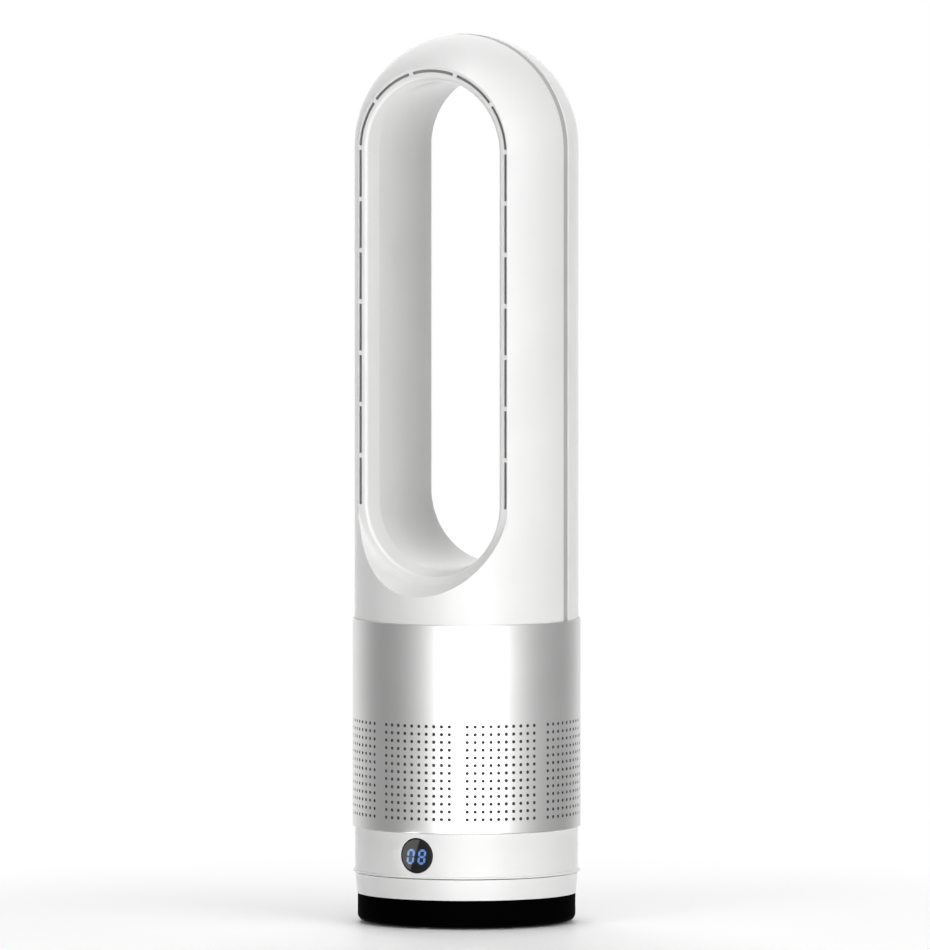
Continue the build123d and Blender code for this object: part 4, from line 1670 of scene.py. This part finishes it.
    def _thicken(self, piece: bpy.types.Object) -> None:
        """Gives a skin its wall, inward, and eases its sharp edges but for the joint at the throat.

        Args:
            piece: the skin.
        """
        shell = piece.modifiers.new("wall", "SOLIDIFY")
        shell.thickness = self.wall
        shell.offset = -1.0
        apply_modifiers(piece)
        sharp = math.radians(self.sharp_degrees)
        work = bmesh.new()
        work.from_mesh(piece.data)
        weight = work.edges.layers.float.new("bevel_weight_edge")
        for edge in work.edges:
            turns = len(edge.link_faces) == 2 and edge.calc_face_angle() > sharp
            joint = all(abs(corner.co.y - self.throat) < self.wall / 2 for corner in edge.verts)
            edge[weight] = float(turns and not joint)
        work.to_mesh(piece.data)
        work.free()
        ease_edges(piece, self.edge_bevel, limit_method="WEIGHT")

    def build(self, palette: Palette) -> None:
        """Makes the three mouldings, the seam's strip of painted shade and the air guide, greyed with
        painted shade.

        Args:
            palette: the finishes.
        """
        stations = self._stations()
        skins = {
            "nozzle_front_shell": self._front_draft(stations).make("nozzle-front"),
            "loop_liner": self._liner_draft(stations).make("loop-liner"),
            "nozzle_rear_shell": self._rear_draft(stations).make("nozzle-rear"),
        }
        skins["loop_liner"].data.flip_normals()
        for node, piece in skins.items():
            self._thicken(piece)
            seat(piece, Body.COLUMN, Slot.WHITE, palette, [node])
        # The air guide's grey is painted shade that darkens the slots.
        seat(self._air_guide(stations), Body.COLUMN, Slot.INNER, palette.guide)
        # The seam strip's grey is painted shade in the groove between the two mouldings.
        seat(self._seam_strip(stations), Body.COLUMN, Slot.WHITE, palette.gasket)

    def _seam_strip(self, stations: Sequence[Station]) -> bpy.types.Object:
        """The grey strip at the bottom of the seam, up one side, over the arch and down the other: painted
        shade that darkens the seam's groove.

        Args:
            stations: the stations round the loop.

        Returns:
            The strip.
        """
        floor = self.radius - self.groove_depth
        top, bottom = floor + self.strip_proud, floor - self.strip_sunk
        corners = (
            (top, self.groove_front),
            (top, self.groove_rear),
            (bottom, self.groove_rear),
            (bottom, self.groove_front),
        )
        section = [(math.sqrt(radius**2 - depth**2), depth) for radius, depth in corners]
        rows = [s.row(section) for s in self._upper(stations)]
        foot = self.base + self.strip_foot
        first, last = ([(x, y, foot) for x, y, _ in row] for row in (rows[0], rows[-1]))
        draft = MeshDraft()
        draft.bar([first, *rows, last])
        return draft.make("seam-shade-strip")

    def _air_guide(self, stations: Sequence[Station]) -> bpy.types.Object:
        """The guide strip that shows dimly behind the air slots. It is a real air guide, and its mid grey
        is painted shade for the dark inside the slots.

        Args:
            stations: the stations round the loop.

        Returns:
            The strip.
        """
        depth = self.front + self.guide_back
        back = depth + self.guide_thickness
        outer = self.crest_radius + self.guide_outer
        rows = []
        for s in stations:
            near = self.mouth_radius + self.guide_inner - self._fall(s, 0.0)
            rows.append(s.row([(near, depth), (outer, depth), (outer, back), (near, back)]))
        draft = MeshDraft()
        draft.grid(rows, closed=True)
        return draft.make("air-guide")


@dataclass
class InnerWorks:
    """CAD nodes whose shapes are right and that only need a finish."""

    nodes: dict[Slot, tuple[str, ...]] = field(
        default_factory=lambda: {
            Slot.FEET: ("rubber_feet",),
            Slot.STEEL: ("ballast_plate", "post_clip", "swing_shaft", "rotor_shaft", "rotor_nut"),
            Slot.NATURAL: ("glide_blocks", "swing_pinion", "gear_sector"),
            Slot.MOTOR: ("swing_motor", "fan_motor"),
            Slot.INNER: (
                "turntable",
                "intake_frame",
                "impeller_housing",
                "diffuser",
                "hub_cap",
                "impeller",
            ),
            Slot.MODULE: ("display_module",),
            Slot.BOARD: ("display_board", "control_board", "switch_board"),
            Slot.DAMPER: ("motor_dampers",),
        }
    )

    def build(self, palette: Palette) -> None:
        """Dresses every node that stays as it is.

        Args:
            palette: the finishes.
        """
        for slot, names in self.nodes.items():
            for name in names:
                dress(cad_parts[name], palette.by_slot[slot])
            LOG.info("dressed %s in %s", ", ".join(names), slot.value)


# --------------------------------------------------------------------- studio
@dataclass(frozen=True)
class SoftBox:
    """One square soft light aimed at the fan, its azimuth counted from the camera's."""

    name: str
    azimuth: float
    elevation: float
    watts: float


@dataclass
class Studio:
    """The pale floor, the soft lights and the camera at the photograph's angle."""

    azimuth: float = 26.7
    elevation: float = 4.1
    distance: float = 30.0
    picture_height_px: int = 950
    picture_width_px: int = 930
    size_per_px: float = 0.905 * MM
    axis_px: float = 466.6
    target_height: float = 0.405
    sensor: float = 36.0
    floor_radii: tuple[float, ...] = (0.0, 0.3, 0.8, 2.0, 8.0, 12.0)
    floor_steps: int = 96
    floor_color: Color = (0.93, 0.93, 0.93)
    floor_roughness: float = 0.45
    floor_specular: float = 0.4
    floor_lift: float = 0.02
    floor_fade: Flat = (0.3, 0.75)
    room_light: float = 0.06
    card_reach: float = 18.0 * MM
    card_light: float = 4.2
    card_start: float = 75.0
    card_end: float = 246.0
    card_steps: int = 24
    lamp_distance: float = 3.0
    lamp_size: float = 1.2
    lamps: tuple[SoftBox, ...] = (
        SoftBox("front", 6, 12, 9.0),
        SoftBox("front-left", -36, 12, 22.0),
        SoftBox("front-right", 35, 12, 25.0),
        SoftBox("side-right", 60, 14, 18.0),
        SoftBox("rear-right", 165, 36, 16.0),
        SoftBox("rear-left", -163, 36, 29.0),
        SoftBox("overhead", 0, 85, 37.0),
    )
    panel_peak: float = 2.8
    panels: tuple[Flat, ...] = (
        (-180, 1.15),
        (-170, 1.12),
        (-156, 0.98),
        (-138, 0.82),
        (-123, 0.6),
        (-112, 0.44),
        (-98, 0.36),
        (-80, 0.38),
        (-66, 0.46),
        (-49, 0.7),
        (-40, 0.92),
        (-30, 1.2),
        (-17, 2.7),
        (24, 2.7),
        (40, 1.25),
        (52, 0.98),
        (64, 0.74),
        (76, 0.56),
        (96, 0.46),
        (116, 0.4),
        (135, 0.58),
        (151, 0.85),
        (180, 1.15),
    )

    def build(self) -> None:
        """Makes the camera, the world, the floor, the lights and the lens's card."""
        self._camera()
        self._world()
        self._floor()
        for lamp in self.lamps:
            self._soft_box(lamp)
        self._card(Display())
        bpy.context.scene.view_settings.view_transform = "Standard"

    def _direction(self, azimuth: float, elevation: float) -> Vector:
        """The way from the object towards a place in the studio.

        Args:
            azimuth: degrees from the front, toward +X.
            elevation: degrees above the floor.

        Returns:
            A unit vector.
        """
        turn, rise = math.radians(azimuth), math.radians(elevation)
        level = math.cos(rise)
        return Vector((math.sin(turn) * level, -math.cos(turn) * level, math.sin(rise)))

    def _camera(self) -> None:
        """A long lens from a little above, as in the photograph."""
        data = bpy.data.cameras.new("studio-camera")
        camera = bpy.data.objects.new("studio-camera", data)
        bpy.context.scene.collection.objects.link(camera)
        turn = math.radians(self.azimuth)
        aside = (self.axis_px - self.picture_width_px / 2) * self.size_per_px
        target = Vector((-aside * math.cos(turn), -aside * math.sin(turn), self.target_height))
        back = self._direction(self.azimuth, self.elevation)
        camera.location = target + back * self.distance
        camera.rotation_euler = (-back).to_track_quat("-Z", "Y").to_euler()
        data.sensor_width = self.sensor
        data.lens = self.sensor * self.distance / (self.picture_height_px * self.size_per_px)
        data.clip_end = 4 * self.distance
        bpy.context.scene.camera = camera

    def _world(self) -> None:
        """Dim room light, bright panels for reflections, and plain white for the camera."""
        world = bpy.data.worlds.new("studio-world")
        world.use_nodes = True
        bpy.context.scene.world = world
        world.node_tree.nodes.clear()
        desk = NodeDesk(world.node_tree)
        path = desk.add("ShaderNodeLightPath").outputs
        room, panels, plain = (
            desk.add("ShaderNodeBackground", {"Color": WHITE, "Strength": strength}).outputs[0]
            for strength in (self.room_light, self._panel_brightness(desk), 1.0)
        )
        lit = desk.mix(room, panels, path["Is Glossy Ray"])
        through = desk.maths("MAXIMUM", path["Is Camera Ray"], path["Is Transmission Ray"])
        desk.add("ShaderNodeOutputWorld", {"Surface": desk.mix(lit, plain, through)})

    def _panel_brightness(self, desk: NodeDesk) -> Socket:
        """How bright the studio looks in each direction, as polished surfaces reflect it.

        Args:
            desk: a desk on the world's tree.

        Returns:
            The brightness socket.
        """
        place = desk.add("ShaderNodeTexCoord").outputs["Generated"]
        axes = desk.add("ShaderNodeSeparateXYZ", {0: place}).outputs
        turn = desk.maths("ARCTAN2", axes["X"], desk.maths("MULTIPLY", axes["Y"], -1.0))
        turn = desk.maths("SUBTRACT", turn, math.radians(self.azimuth))
        share = desk.maths("ADD", desk.maths("DIVIDE", turn, FULL_TURN), 1.5)
        ramp = desk.add("ShaderNodeValToRGB", {"Fac": desk.maths("FRACT", share, 0.0)})
        stops = ramp.color_ramp.elements
        for index, (azimuth, level) in enumerate(self.panels):
            place_on_ramp = azimuth / 360 + 0.5
            stop = stops[index] if index < 2 else stops.new(place_on_ramp)
            stop.position = place_on_ramp
            grey = level / self.panel_peak
            stop.color = (grey, grey, grey, 1.0)
        return desk.maths("MULTIPLY", ramp.outputs["Color"], self.panel_peak)

    def _floor(self) -> None:
        """A pale floor that keeps the object's shadow and fades to white."""
        floor = turned("studio-floor", [(radius, 0.0) for radius in self.floor_radii], self.floor_steps)
        if floor.data.polygons[0].normal.z < 0:
            floor.data.flip_normals()
        material, desk, shader = start_material("floor-paper")
        seen = desk.add("ShaderNodeLightPath").outputs["Is Camera Ray"]
        surface = {
            "Base Color": (*self.floor_color, 1.0),
            "Roughness": self.floor_roughness,
            "Emission Color": WHITE,
            "Specular IOR Level": self.floor_specular,
            "Emission Strength": desk.maths("MULTIPLY", seen, self.floor_lift),
        }
        desk.feed(shader, surface)
        reach = desk.vectors("LENGTH", desk.add("ShaderNodeTexCoord").outputs["Object"])
        far = desk.remap(reach.outputs["Value"], *self.floor_fade, 0.0, 1.0)
        glow = desk.add("ShaderNodeEmission", {"Strength": 1.0})
        faded = desk.mix(shader.outputs[0], glow.outputs[0], desk.maths("MULTIPLY", far, seen))
        desk.feed(material.node_tree.nodes["Material Output"], {"Surface": faded})
        dress(floor, material)
        floor.visible_glossy = False

    def _card(self, display: Display) -> None:
        """A slanted white card at the front left that only the polished lens mirrors.

        Args:
            display: the display whose lens the card is cut to.
        """
        corners = []
        for turn in spread(math.radians(self.card_start), math.radians(self.card_end), self.card_steps):
            u, v = polar(LENS_RADIUS, turn)
            facing = math.degrees(math.asin(u / display.face_radius))
            start = display.face_radius * self._direction(facing, 0.0)
            start += Vector((0.0, 0.0, DISPLAY_HEIGHT + v))
            way = self._direction(2 * facing - self.azimuth, -self.elevation)
            corners.append(tuple(start + self.card_reach * way))
        draft = MeshDraft()
        draft.polygon(corners)
        card = draft.make("studio-card")
        material, desk, _ = start_material("card-paper")
        glow = desk.add("ShaderNodeEmission", {"Strength": self.card_light}).outputs[0]
        desk.feed(material.node_tree.nodes["Material Output"], {"Surface": glow})
        dress(card, material)
        card.visible_camera = card.visible_diffuse = card.visible_shadow = card.visible_transmission = False

    def _soft_box(self, lamp: SoftBox) -> None:
        """Sets up one soft light.

        Args:
            lamp: its name, direction and power.
        """
        data = bpy.data.lights.new(lamp.name, "AREA")
        data.shape = "RECTANGLE"
        data.size = data.size_y = self.lamp_size
        data.energy = lamp.watts
        light = bpy.data.objects.new(lamp.name, data)
        bpy.context.scene.collection.objects.link(light)
        back = self._direction(self.azimuth + lamp.azimuth, lamp.elevation)
        light.location = Vector((0.0, 0.0, self.target_height)) + back * self.lamp_distance
        light.rotation_euler = back.to_track_quat("Z", "Y").to_euler()
        light.visible_camera = False
        light.visible_glossy = False


def main() -> None:
    """Builds the fan from the foot up, then the studio."""
    logging.basicConfig(level=logging.INFO, format="%(name)s %(message)s")
    palette = Palette()
    for part in (
        Foot(),
        BaseCover(),
        ControlRing(),
        Display(),
        PowerButton(),
        CordGland(),
        IntakeSleeve(),
        LoopNozzle(),
        InnerWorks(),
    ):
        part.build(palette)
    Studio().build()


if __name__ == "__main__":
    main()
